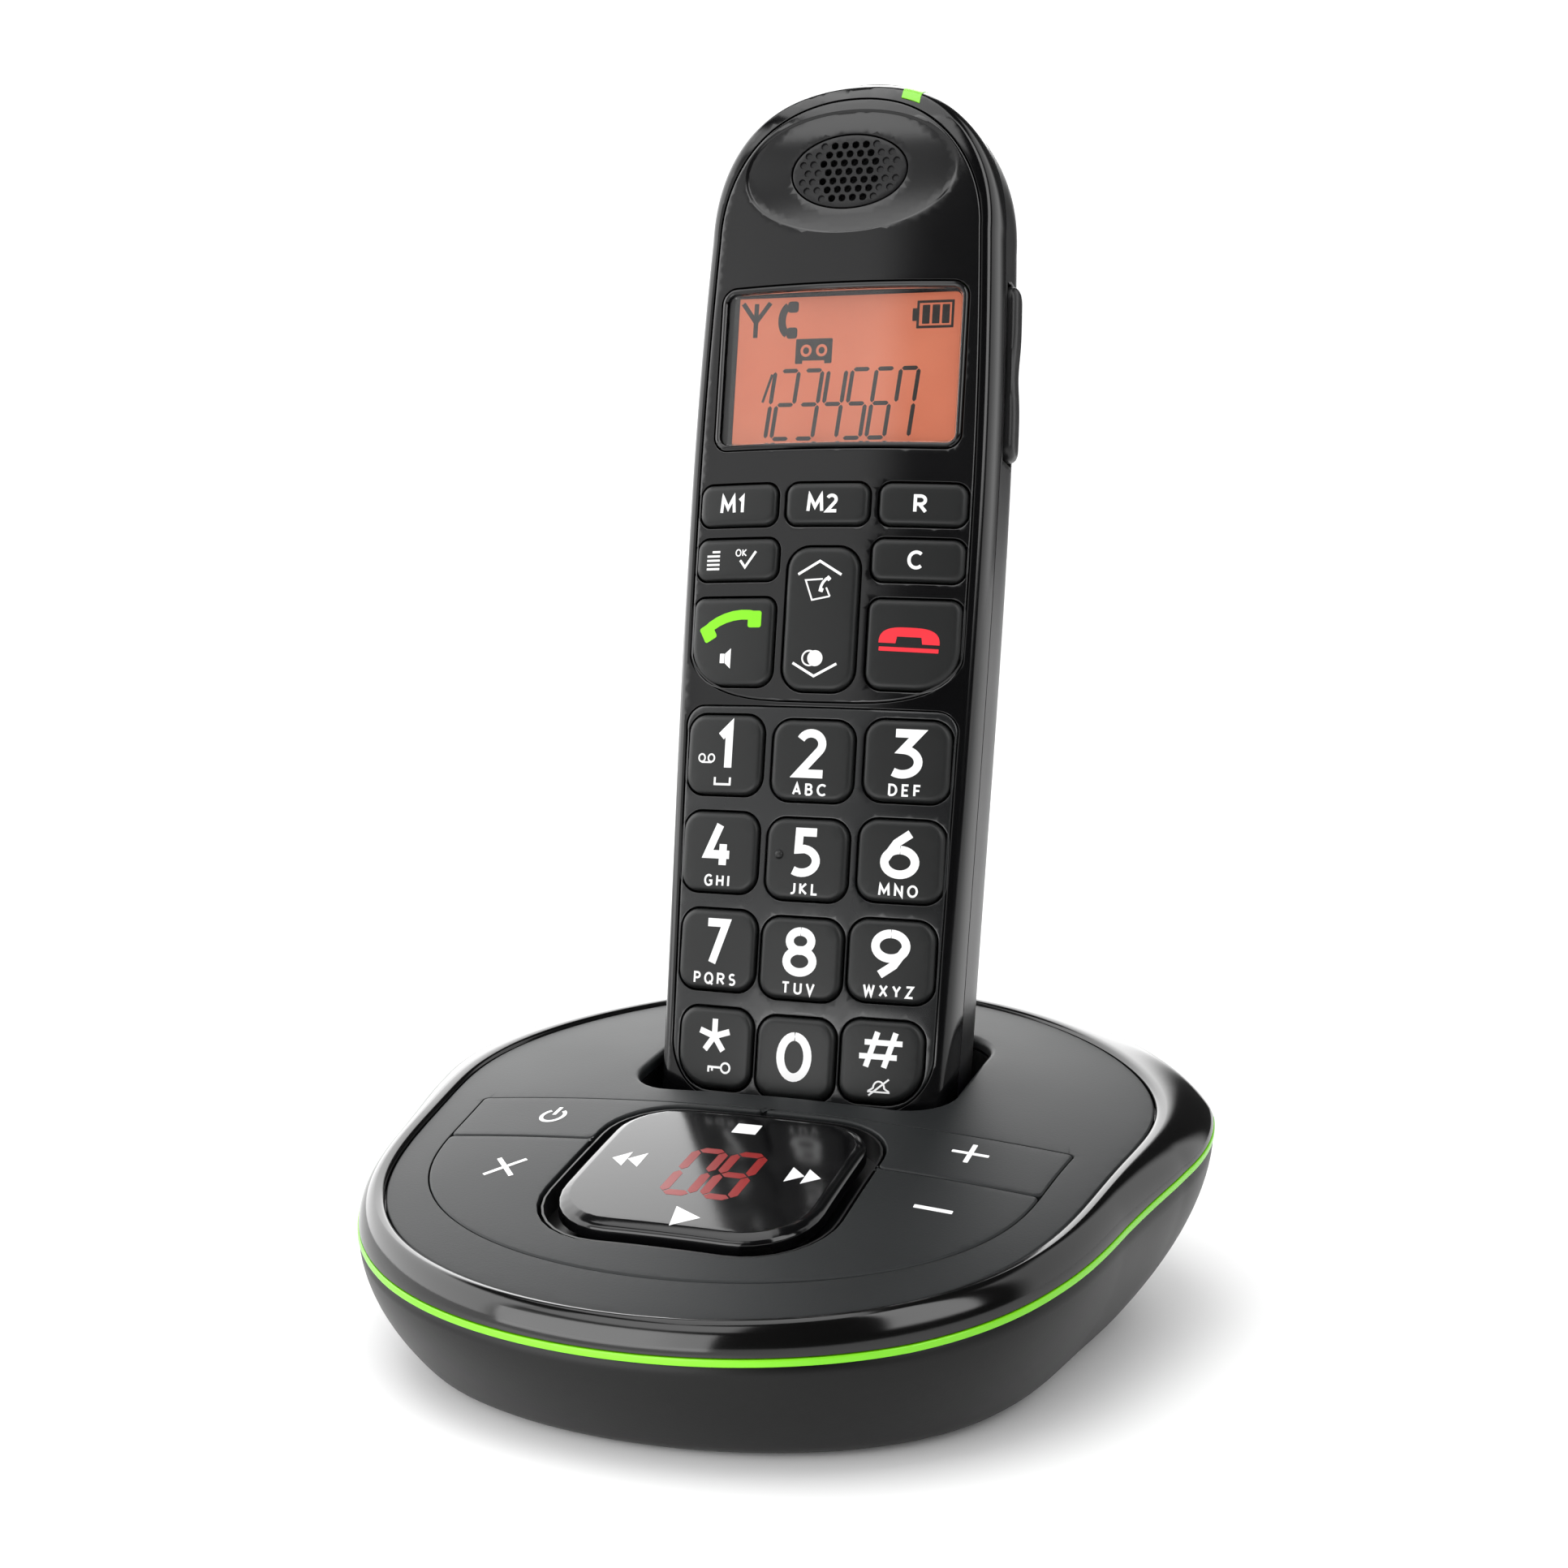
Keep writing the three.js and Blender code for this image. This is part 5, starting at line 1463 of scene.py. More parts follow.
        glass_edge = ((0.1, 0.0), (0.0, 0.1), (0.0, 3.0))
        glass = Skin.plate(round_rect(-19.4, 116.2, 19.4, 140.6, 0.6), [], glass_edge, 2.0)
        lit = build("display_glass", glass.mapped(level), HANDSET)
        dress(lit, AMBER_GLASS, self.body, ["lcd_module"])
        # painted shade: a dark strip laid over the left edge of the lit glass, in place of the shade that the
        # window's inner wall casts there
        painted_shade_edge, before_glass = ((0.05, 0.0), (0.0, 0.05), (0.0, 0.15)), [0, 0.16, 0]
        painted_shade_strip = Skin.plate(round_rect(-19.6, 116.1, -17.7, 140.7, 0.1), [], painted_shade_edge, 2.0)
        band = build("display_painted_shade_strip", painted_shade_strip.mapped(lambda points: level(points) - before_glass), HANDSET)
        dress(band, SATIN_ABS, self.body)
        reels, reel_v = (-6.05, -3.45), 131.4
        gaps = [ellipse(u, reel_v, 0.95, 1.0, 24) for u in reels]
        gaps.append(round_rect(-6.6, 129.2, -2.9, 129.8, 0.1))
        spools = [ellipse(u, reel_v, 0.5, 0.55, 20) for u in reels]
        dark = Skin.flat(display_signs(), 0.08, gaps=gaps).join(Skin.flat(spools, 0.08)).mapped(level)
        dress(build("display_segments", dark, HANDSET), SEGMENT_FILM, self.body)

    def keys(self, keys: Sequence[Key]) -> None:
        """Build every key with its printing.

        Args:
            keys: the keys.
        """
        seat = 3.3
        edge = ((1.05, 0.0), (0.7, 0.045), (0.42, 0.15), (0.2, 0.33), (0.06, 0.58), (0.0, 0.9), (0.0, seat))
        top = self.over(self.key_proud)
        for key in keys:
            skin = Skin.plate(key.outline(), [], edge, 1.5)
            if key.name == "key_5":
                skin.join(nub(key.u - 4.4, key.v + 0.6))
            cap = build(key.name + "_cap", skin.mapped(top), HANDSET)
            dress(cap, KEY_ABS, key.body, [key.name])
            for word, loops, ink in key_printing(key):
                layer = Skin.flat(loops, 0.1).mapped(top)
                dress(build(f"{key.name}_{word}", layer, HANDSET), ink, key.body)

    def lamp(self) -> None:
        """Build the light guide that wraps over the rim of the arched top."""
        f = self.form
        middle, half = 9.1, 1.55
        proud, thick = (-0.1, 0.05), (0.9, -0.7)
        path = ((3.1, 0.0), (2.6, 0.0), *SHELL_ROLL, (0.2, 2.9))
        rings = []
        for u in np.linspace(middle - half, middle + half, 9):
            edge = f.top_at(u)
            outer, inner = [], []
            for inset, depth in path:
                v = edge - 1.1 * inset
                y = float(f.face(np.array(u), np.array(v))) + depth
                outer.append((u, y + proud[0], v + proud[1]))
                inner.append((u, y + thick[0], v + thick[1]))
            rings.append(outer + inner[::-1])
        piece = build("call_lamp_light_guide", Skin.loft(np.array(rings)), HANDSET)
        dress(piece, LAMP_PC, self.body, ["indicator_light"])

    def rear_shell(self) -> None:
        """Build the rear shell, with its battery bay, side opening and contact openings."""
        f = self.form
        start = f.split + 0.15
        angles = np.linspace(0, math.pi, 61)
        levels = [0.0, 0.25, 0.8, 1.6, *np.arange(3, f.arch_start, 3.0)]
        levels += [f.arch_start + f.arch * math.sin(a) * 0.9995 for a in np.linspace(0, math.pi / 2, 34)]
        shrink = {0.0: 1.2, 0.25: 0.65, 0.8: 0.25, 1.6: 0.05}
        rings = []
        for v in levels:
            half = max(0.5, float(f.half_at(v)) - shrink.get(v, 0.0))
            low, high = float(f.side_start(v)), float(f.back_at(v)) - shrink.get(v, 0.0)
            low = max(low, start + 0.05)
            u = half * np.sign(np.cos(angles)) * np.abs(np.cos(angles)) ** (2 / f.back_power)
            y = low + (high - low) * np.sin(angles) ** (2 / f.back_power)
            right, left = [half * 0.996, start, v], [-half * 0.996, start, v]
            rings.append(np.concatenate([[right], np.column_stack([u, y, np.full(len(u), v)]), [left]]))
        shell = build("rear_shell_moulding", Skin.loft(np.array(rings)), HANDSET)
        door = round_rect(*f.door, f.door_radius)
        bay = cut_block(grown(door, SEAM), 23.6, 40)
        hollow = cut_block(round_rect(-15.2, 30.9, 15.2, 79.4, 0.5), 11.8, 24.2)
        front, low, back, high = f.side_key
        gap = 0.2
        slot = round_rect(20.0, low - gap, 32, high + gap, 0.2, 6.0)
        opening = cut_block(slot, front - gap, back + gap)
        pads = [cut_block(round_rect(s * 8 - 2, -2, s * 8 + 2, 3.2, 0.2, 6.0), 12.2, 17.8) for s in (-1, 1)]
        carve(shell, [bay, hollow, opening, *pads])
        dress(shell, SATIN_ABS, self.body, ["rear_shell"])

    def side_rocker(self) -> None:
        """Build the volume rocker in the right wall."""
        f = self.form
        proud, finger_hollow = 1.4, 0.35
        _, low, back, high = f.side_key

        def lay(points: np.ndarray) -> np.ndarray:
            """Lay a plate on the side wall: along the depth, up, and inwards."""
            y, v, d = points.T
            hollow = finger_hollow * np.exp(-(((v - (low + high) / 2) / 4) ** 2)) * (d < 0.5)
            return np.column_stack([f.side(np.minimum(y, back), v) + proud - d - hollow, y, v])

        edge = ((1.3, 0.0), (0.85, 0.08), (0.45, 0.28), (0.15, 0.62), (0.0, 1.1), (0.0, 3.6))
        skin = Skin.plate(round_rect(*f.side_key, 2.4), [], edge, 1.0)
        rocker = build("side_volume_rocker_cap", skin.mapped(lay), HANDSET)
        dress(rocker, SATIN_ABS, "side_volume_body", ["side_volume_rocker"])

    def battery_door(self) -> None:
        """Build the battery door with its grip ribs."""
        f = self.form

        def lay(points: np.ndarray) -> np.ndarray:
            """Lay a plate on the back: across, up, and inwards."""
            u, v, d = points.T
            return np.column_stack([u, f.back(u, v) - d, v])

        edge = ((0.45, 0.0), (0.2, 0.06), (0.05, 0.2), (0.0, 0.45), (0.0, 1.7))
        skin = Skin.plate(round_rect(*f.door, f.door_radius), [], edge, 1.5)
        rib = ((0.3, 0.0), (0.12, 0.08), (0.0, 0.3), (0.0, 0.6))
        rib_pitch, rib_proud = 2.2, [0, 0, 0.02]
        for k in range(5):
            low = 72 - rib_pitch * k
            bar = Skin.plate(round_rect(-7, low, 7, low + 1, 0.45), [], rib, 2.0)
            skin.join(bar.mapped(lambda points: points - rib_proud))
        door = build("battery_door_moulding", skin.mapped(lay), HANDSET)
        dress(door, SATIN_ABS, "battery_door_body", ["battery_door"])


def redress(node: str, finish: Finish) -> None:
    """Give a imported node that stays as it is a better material.

    Args:
        node: its name.
        finish: its surface.
    """
    obj = frame["nodes"][node]
    obj.data.materials.clear()
    obj.data.materials.append(finish.material())
    LOG.info("%s: %s", node, finish.name)


# ---------------------------------------------------------------- base
CUP_ROUNDS = 12          # steps towards the height where the cup's wall meets the plate


class BaseKey(Enum):
    """The keys that are let into the base's top."""

    POWER = "power_key"
    VOLUME_UP = "volume_up_key"
    DELETE = "delete_volume_down_rocker"


def wave_outline(sines: Sequence[float], cosines: Sequence[float], count: int = 240) -> Loop:
    """Make an outline from its sine and cosine terms, anticlockwise from the rear."""
    a = np.linspace(0, 2 * math.pi, count + 1)[:-1]
    x = -sum(term * np.sin((k + 1) * a) for k, term in enumerate(sines))
    y = sum(term * np.cos(k * a) for k, term in enumerate(cosines))
    return np.column_stack([x, y])


@dataclass(frozen=True)
class BaseForm:
    """Sizes of the base, and the surfaces that follow from them."""

    # sine and cosine terms of the top plate's outline and of the line round the keys
    plate_x: tuple[float, ...] = (59.4, -0.6, 5.6, -1.7)
    plate_y: tuple[float, ...] = (-5.3, 54.4, -0.9, 5.2, -0.3)
    pad_x: tuple[float, ...] = (53.0, -1.0, 5.6, -2.0)
    pad_y: tuple[float, ...] = (-3.3, 50.4, -0.5, 1.5, -2.6)
    # the top's height where level_y is, its slope to the rear and how it domes
    level: float = 12.54
    level_y: float = -25.0
    slope: float = math.tan(math.radians(10.3))
    dome_x: float = 0.00113
    dome_y: float = 0.0011
    plate_thick: float = 1.8
    # places from front to rear, each with how far the widest line lies outside the plate's edge
    reach: tuple[tuple[float, float], ...] = (
        (-72, 3.6), (-55, 3.7), (-38, 4.2), (-20, 4.9), (0, 6.6), (18, 9.8), (36, 9.2), (56, 8.0),
    )
    # the same places, each with how far the accent line lies below the plate
    drop: tuple[tuple[float, float], ...] = (
        (-72, 4.0), (-55, 4.5), (-38, 4.3), (-20, 4.5), (0, 4.5), (18, 3.8), (36, 2.2), (56, 1.4),
    )
    ridge_in: float = 1.7
    ridge_proud: float = 0.6
    line_high: float = 1.0
    bottom: float = -16.0
    bottom_inset: float = 5.0
    wall: float = 2.2
    floor_thick: float = 2.0
    # keys: rear edge and split of their rows, then the four-way rocker and the moat round it
    row_rear: float = -9.6
    row_split: float = -23.8
    island_y: float = -31.1
    island_a: float = 19.2
    island_b: float = 17.7
    island_front: float = 10.5
    island_rear: float = 8.0
    island_proud: float = 0.9
    moat: float = 2.2
    well_depth: float = 3.9
    cup: tuple[float, float, float, float] = (-25.6, -6.8, 25.6, 28.7)
    cup_radii: tuple[float, float, float, float] = (8.0, 8.0, 9.0, 9.0)
    cup_wall: float = 1.5

    def height(self, x: np.ndarray, y: np.ndarray) -> np.ndarray:
        """Return the height of the top plate."""
        dy = np.asarray(y, float) - self.level_y
        return self.level + self.slope * dy - self.dome_x * np.asarray(x, float) ** 2 - self.dome_y * dy**2

    def edge(self) -> Loop:
        """Return the top plate's edge."""
        return wave_outline(self.plate_x, self.plate_y)

    def reach_at(self, y: np.ndarray) -> np.ndarray:
        """Return how far the widest line lies outside the top plate's edge."""
        return np.interp(y, *np.array(self.reach).T)

    def line_at(self, edge: Loop) -> np.ndarray:
        """Return the height of the accent line beside each point of the edge."""
        return self.height(*edge.T) - np.interp(edge[:, 1], *np.array(self.drop).T)

    def island(self, out: float = 0.0) -> Loop:
        """Return the outline of the four-way rocker, or one that lies outside it."""
        front, rear = self.island_front + out * 0.8, self.island_rear + out * 0.8
        a, b, y = self.island_a + out, self.island_b + out, self.island_y
        return round_rect(-a, y - b, a, y + b, (front, front, rear, rear))

    def zone(self, key: BaseKey, gap: float) -> Loop:
        """Return the outline of a key of the base.

        Args:
            key: the key.
            gap: space to leave all round.

        Returns:
            The outline.
        """
        pad, moat = wave_outline(self.pad_x, self.pad_y), self.island(self.moat + 0.35)
        low, high = (-90.0, self.row_split) if key is BaseKey.DELETE else (self.row_split, self.row_rear)
        left = 0.0 if key is BaseKey.VOLUME_UP else -90.0
        right = 0.0 if key is BaseKey.POWER else 90.0
        window = round_rect(left, low, right, high, 0.01, 200)

        def inside(points: np.ndarray) -> np.ndarray:
            """Tell which points belong to the key."""
            return contains(pad, points) & contains(window, points) & ~contains(moat, points)

        loops = Region.cut([pad, moat, window], inside).outlines()
        outline = max(loops, key=len)
        return softened(grown(divided(outline, 1.2), -gap), 1.0)

    def field(self) -> Loop:
        """Return the outline of the opening round all the keys."""
        pad = wave_outline(self.pad_x, self.pad_y)
        window = round_rect(-90, -90, 90, self.row_rear, 0.01, 200)

        def inside(points: np.ndarray) -> np.ndarray:
            """Tell which points belong to the opening."""
            return contains(pad, points) & contains(window, points)

        return softened(divided(max(Region.cut([pad, window], inside).outlines(), key=len), 1.2), 1.0)

    def up_the_cup(self, loop: Loop, fall: float) -> np.ndarray:
        """Find where the leaning cup's wall meets the top plate.

        Args:
            loop: the wall's outline, square to the lean.
            fall: how far under the plate's top.

        Returns:
            How far up the lean that is, at each point.
        """
        x, depth = loop.T
        c, s = math.cos(HANDSET.lean), math.sin(HANDSET.lean)
        up = np.full(len(x), self.level)
        for _ in range(CUP_ROUNDS):
            up = (self.height(x, depth * c + up * s) - fall + depth * s) / c
        return up

    def cup_mouth(self) -> Loop:
        """Return where the leaning cup comes through the top plate, seen from above."""
        inner = round_rect(*self.cup, self.cup_radii)
        c, s = math.cos(HANDSET.lean), math.sin(HANDSET.lean)
        return np.column_stack([inner[:, 0], inner[:, 1] * c + self.up_the_cup(inner, 0.0) * s])


def base_key_signs() -> dict[BaseKey, list[Loop]]:
    """Draw the signs of the base's keys.

    Returns:
        The outlines on each key.
    """
    pen = 0.62
    power = ribbon(trace([(-31.6, -16.6, 1.75, 2.05, 125, 415)]), pen)
    power += ribbon(np.array([[-31.6, -16.3], [-31.6, -13.6]]), pen)
    plus = [round_rect(30.3, -15.65, 35.7, -14.95, 0.1), round_rect(32.65, -18.2, 33.35, -12.4, 0.1)]
    minus = [round_rect(29.8, -32.9, 35.2, -32.1, 0.1)]
    cross = ribbon(np.array([[-33.1, -36.3], [-28.7, -31.3]]), 0.7)
    cross += ribbon(np.array([[-28.7, -36.3], [-33.1, -31.3]]), 0.7)
    return {BaseKey.POWER: power, BaseKey.VOLUME_UP: plus, BaseKey.DELETE: cross + minus}


def transport_signs() -> list[Loop]:
    """Draw stop, play, back and forward."""
    loops = [round_rect(-1.25, -20.5, 2.45, -17.5, 0.1)]
    loops.append(np.array([[-0.5, -42.7], [0.4, -47.5], [3.8, -44.9]]))
    for x, y, way in ((-12.8, -31.2, -1), (13.6, -30.9, 1)):
        for start in (-2.3, 0.1):
            back, tip = x + way * start, x + way * (start + 2.3)
            triangle = np.array([[back, y - 2.1], [tip, y], [back, y + 2.1]])
            loops.append(triangle if way > 0 else triangle[::-1])
    return loops


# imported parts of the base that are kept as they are, with a finish
BASE_INSIDE = {
    "rocker_gimbal": SATIN_ABS,
    "message_display": SATIN_ABS,
    "base_board": RESIST,
    "base_speaker": NICKEL,
    "line_socket": SATIN_ABS,
    "power_socket": SATIN_ABS,
    "charge_contact_left": NICKEL,
    "charge_contact_right": NICKEL,
    "foot_front_left": RUBBER,
    "foot_front_right": RUBBER,
    "foot_rear_left": RUBBER,
    "foot_rear_right": RUBBER,
}


@dataclass
class Base:
    """The charging base: bowl, accent line, rim, top plate, keys, four-way rocker and cup."""

    form: BaseForm
    gap: float = 0.16
    groove: float = 0.15
    body: str = "base"

    def over(self, lift: float = 0.0) -> Surface:
        """Return the surface that lays a plate on the base's top, lifted by a height."""

        def lay(points: np.ndarray) -> np.ndarray:
            """Move rows of x, y and depth to the base's frame."""
            x, y, d = points.T
            return np.column_stack([x, y, self.form.height(x, y) + lift - d])

        return lay

    def make(self) -> None:
        """Build every piece of the base."""
        self.bowl()
        self.accent_line()
        self.rim()
        self.top_plate()
        self.keys()
        self.well()
        self.island()
        self.cup()
        for node, finish in BASE_INSIDE.items():
            redress(node, finish)

    def ring(self, grow: np.ndarray | float, height: np.ndarray) -> np.ndarray:
        """Make a ring of points along the top plate's edge."""
        return np.column_stack([grown(self.form.edge(), grow), height])

    def bowl(self) -> None:
        """Build the lower shell with its two socket openings."""
        f = self.form
        edge = f.edge()
        reach, line = f.reach_at(edge[:, 1]), f.line_at(edge)
        top = line - f.line_high / 2 - self.groove

        def ring_at(t: float, wall: float, low: float) -> np.ndarray:
            """Return the bowl's ring at a share of the way down, at a depth into its wall."""
            drawn_in = t**1.75
            soft = 0.5 * max(0.0, (t - 0.93) / 0.07) ** 2 + 0.35 * max(0.0, (0.03 - t) / 0.03) ** 2
            grow = reach * (1 - drawn_in) - f.bottom_inset * drawn_in - wall - (0.0 if wall else soft)
            return self.ring(grow, lerp(top, low, t))

        inside = f.bottom + f.floor_thick
        outer = [ring_at(t, 0.0, f.bottom) for t in np.linspace(1, 0, 22)]
        inner = [ring_at(t, f.wall, inside) for t in np.linspace(0, 1, 12)]
        under, floor = [self.ring(-30.0, np.full(len(edge), height)) for height in (f.bottom, inside)]
        shell = build("base_bowl", Skin.loft(np.array([under, *outer, *inner, floor])), BASE, 30)
        cutters = []
        for node in ("line_socket", "power_socket"):
            low, high = (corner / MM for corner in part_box(node))
            x0, x1, z0, z1 = low.x - 0.3, high.x + 0.3, low.z - 0.3, high.z + 0.3
            x, z = round_rect(x0, z0, x1, z1, 0.4, 30).T
            ends = (low.y - 1.0, high.y + 14.0)
            walls = [np.column_stack([x, np.full(len(x), y), z]) - BASE.offset for y in ends]
            cutters.append(build("cutter", Skin.loft(np.array(walls)), BASE))
        carve(shell, cutters)
        dress(shell, BOWL_ABS, self.body, ["base_shell"])

    def accent_line(self) -> None:
        """Build the bright line between bowl and rim."""
        f = self.form
        edge = f.edge()
        reach, line = f.reach_at(edge[:, 1]), f.line_at(edge)
        half = f.line_high / 2
        profile = (
            (0.0, half),
            (0.12, half - 0.06),
            (0.18, half - 0.2),
            (0.18, 0.2 - half),
            (0.12, 0.06 - half),
            (0.0, -half),
            (-2.0, -half),
            (-2.0, half),
        )
        rings = [self.ring(reach + out, line + up) for out, up in profile]
        strip = build("accent_line_strip", Skin.loft(np.array(rings), closed=True), BASE, 60)
        dress(strip, GREEN_PC, self.body, ["accent_line"])

    def rim(self) -> None:
        """Build the glossy rim that rolls over from the accent line to the top plate."""
        f = self.form
        edge = f.edge()
        top = f.height(*edge.T)
        reach, low = f.reach_at(edge[:, 1]), f.line_at(edge) + f.line_high / 2 + self.groove
        ridge = top + f.ridge_proud
        rings = [self.ring(reach - 0.35, low)]
        for a in np.radians([1, 4, 9, 15, 22, 30, 38, 46, 54, 62, 70, 78, 85, 90]):
            grow = f.ridge_in + (reach - f.ridge_in) * math.cos(a) ** 1.15
            rings.append(self.ring(grow - 0.02, low + (ridge - low) * math.sin(a) ** 1.15))
        for grow, fall in ((1.1, 0.04), (0.65, 0.22), (0.42, 0.5), (0.3, 0.9), (0.3, f.plate_thick + 0.9)):
            rings.append(self.ring(grow, ridge - fall))
        ledge, under = ridge - f.plate_thick - 0.9, np.minimum(ridge - f.plate_thick - 2.4, low - 0.8)
        inner, outer = -2.2, reach - 2.8
        rings += [self.ring(inner, ledge), self.ring(inner, under)]
        rings += [self.ring(outer, under), self.ring(outer, low)]
        rim = build("base_rim_moulding", Skin.loft(np.array(rings), closed=True), BASE, 50)
        dress(rim, RIM_ABS, self.body, ["base_rim"])

    def top_plate(self) -> None:
        """Build the matte top with its openings for the keys and the cup."""
        f = self.form
        edge = ((0.35, 0.0), (0.14, 0.06), (0.02, 0.2), (0.0, 0.4), (0.0, f.plate_thick))
        bore = ((0.22, 0.0), (0.07, 0.05), (0.0, 0.2), (0.0, f.plate_thick))
        roll = ((0.9, 0.0), (0.6, 0.06), (0.35, 0.19), (0.16, 0.4), (0.04, 0.68), (0.0, 1.0), edge[-1])
        holes = [(f.field(), bore), (f.cup_mouth(), roll)]
        skin = Skin.plate(grown(f.edge(), 0.14), holes, edge, 2.4)
        plate = build("top_plate_moulding", skin.mapped(self.over()), BASE)
        dress(plate, PLATE_ABS, self.body, ["top_plate"])

    def keys(self) -> None:
        """Build the keys round the four-way rocker, with their signs."""
        f = self.form
        edge = ((0.3, 0.0), (0.12, 0.05), (0.02, 0.18), (0.0, 0.36), (0.0, 2.6))
        bodies = {
            BaseKey.POWER: "power_key_body",
            BaseKey.VOLUME_UP: "volume_up_key_body",
            BaseKey.DELETE: "delete_down_body",
        }
        signs = base_key_signs()
        for key, body in bodies.items():
            skin = Skin.plate(f.zone(key, self.gap), [], edge, 2.0)
            cap = build(key.value + "_cap", skin.mapped(self.over(0.06)), BASE)
            dress(cap, PLATE_ABS, body, [key.value])
            layer = Skin.flat(signs[key], 0.1).mapped(self.over(0.06))
            dress(build(key.value + "_print", layer, BASE), WHITE_INK, body)

    def well(self) -> None:
        """Build the dark well that the four-way rocker tilts in."""
        f = self.form
        outline = f.island(f.moat)
        brim, floor, under = 0.35, f.well_depth, f.well_depth + 1.4
        outside = ((0.0, brim), (0.0, floor), (0.9, floor), (0.9, under))
        inside = ((-4.5, under), (-4.5, floor + 0.02), (-0.3, floor), (-0.3, brim))
        walls = []
        for out, fall in (*outside, *inside):
            loop = grown(outline, out)
            walls.append(np.column_stack([loop, f.height(*loop.T) - fall]))
        well = build("rocker_well_wall", Skin.loft(np.array(walls), closed=True), BASE)
        dress(well, SATIN_ABS, self.body, ["rocker_well"])

    def island(self) -> None:
        """Build the glossy four-way rocker with its signs and the counter that shines through it."""
        f = self.form
        edge = ((1.7, 0.0), (1.45, 0.02), (0.75, 0.24), (0.35, 0.42), (0.12, 0.66), (0.0, 1.0), (0.0, 2.3))
        skin = Skin.plate(f.island(), [], edge, 1.6)
        top = self.over(f.island_proud)
        cap = build("transport_rocker_cap", skin.mapped(top), BASE, 24)
        dress(cap, POLISHED_ABS, "transport_body", ["transport_rocker"])
        layer = Skin.flat(transport_signs(), 0.1).mapped(top)
        dress(build("transport_rocker_print", layer, BASE), WHITE_INK, "transport_body")
        digits: list[Loop] = []
        for digit, left in (("0", -4.2), ("8", 1.75)):
            digits += moved(seven_segments(digit, 4.1, 12.4, 1.4, 0.04, 0.2), left, -39.2)
        lit = Skin.flat(digits, 0.1, 0.03).mapped(top)
        dress(build("message_counter_digits", lit, BASE), RED_DIODE, "transport_body")

    def cup(self) -> None:
        """Build the cup that the handset stands in."""
        f = self.form
        inner = round_rect(*f.cup, f.cup_radii)
        outer = grown(inner, f.cup_wall)
        low = -f.cup_wall - 0.3
        rings = [np.column_stack([outer, np.full(len(outer), low)])]
        for loop in (outer, inner):
            rings.append(np.column_stack([loop, f.up_the_cup(loop, f.plate_thick + 0.3)]))
        for out, up in ((0.0, 0.9), (-0.25, 0.3), (-0.9, -0.15), (-2.0, -0.3)):
            rings.append(np.column_stack([grown(inner, out), np.full(len(inner), up)]))
        cup = build("cradle_cup_moulding", Skin.loft(np.array(rings)), HANDSET)
        dress(cup, BOWL_ABS, self.body, ["cradle_cup"])


# ---------------------------------------------------------------- studio
@dataclass(frozen=True)
class SoftBox:
    """A soft light: its middle, what it points at, its size and power, in metres and watts."""

    name: str
    at: tuple[float, float, float]
    aim: tuple[float, float, float]
    size: tuple[float, float]
    power: float


@dataclass(frozen=True)
class SoftWindow:
    """A soft patch of the surroundings: its sides and blur in degrees, and its strength."""

    around: tuple[float, float]
    blur_around: float
    height: tuple[float, float]
    blur_height: float
    strength: float


def calculate(
    tree: bpy.types.NodeTree,
    operation: str,
    first: bpy.types.NodeSocket,
    second: bpy.types.NodeSocket | float = 0.0,
) -> bpy.types.NodeSocket:
    """Calculate with one or two values.

    Args:
        tree: the nodes.
        operation: Blender's name of the operation.
        first: the first value.
        second: the second one, which may be a number.

    Returns:
        The result.
    """
    made = add_node(tree, "ShaderNodeMath", {"operation": operation}, {})
    tree.links.new(first, made.inputs[0])
    if isinstance(second, float):
        made.inputs[1].default_value = second
    else:
        tree.links.new(second, made.inputs[1])
    return made.outputs["Value"]


def band(
    tree: bpy.types.NodeTree,
    value: bpy.types.NodeSocket,
    sides: tuple[float, float],
    blur: float,
    strength: float,
) -> bpy.types.NodeSocket:
    """Make a value that is high between two sides and fades out smoothly beyond them.

    Args:
        tree: the nodes.
        value: what lies between the sides or beyond them.
        sides: the low and the high side.
        blur: how far beyond a side it fades.
        strength: how high it is.

    Returns:
        The result.
    """
    low, high = sides
    rise = {"interpolation_type": "SMOOTHSTEP", "From Min": low - blur, "From Max": low, "To Max": strength}
    fall = {"interpolation_type": "SMOOTHSTEP", "From Min": high + blur, "From Max": high, "To Max": 1.0}
    up = add_node(tree, "ShaderNodeMapRange", rise, {"Value": value}).outputs["Result"]
    down = add_node(tree, "ShaderNodeMapRange", fall, {"Value": value}).outputs["Result"]
    return calculate(tree, "MULTIPLY", up, down)


def hang_light(box: SoftBox) -> None:
    """Hang up one soft light."""
    data = bpy.data.lights.new(box.name, "AREA")
    data.shape = "RECTANGLE"
    data.size, data.size_y = box.size
    data.energy = box.power
    lamp = bpy.data.objects.new(box.name, data)
    bpy.context.scene.collection.objects.link(lamp)
    at = Vector(box.at)
    turn = (Vector(box.aim) - at).to_track_quat("-Z", "Y").to_matrix().to_4x4()
    lamp.matrix_world = Matrix.Translation(at) @ turn
    lamp.visible_camera = False


def lay_floor() -> bpy.types.Object:
    """Lay a plain pale floor.

    Returns:
        The floor.
    """
    mesh = bpy.data.meshes.new("floor")
    half = 9.0
    corners = [(-half, -half, 0), (half, -half, 0), (half, half, 0), (-half, half, 0)]
    mesh.from_pydata(corners, [], [(0, 1, 2, 3)])
    floor = bpy.data.objects.new("floor", mesh)
    bpy.context.scene.collection.objects.link(floor)
    mesh.materials.append(PAPER.material())
    return floor


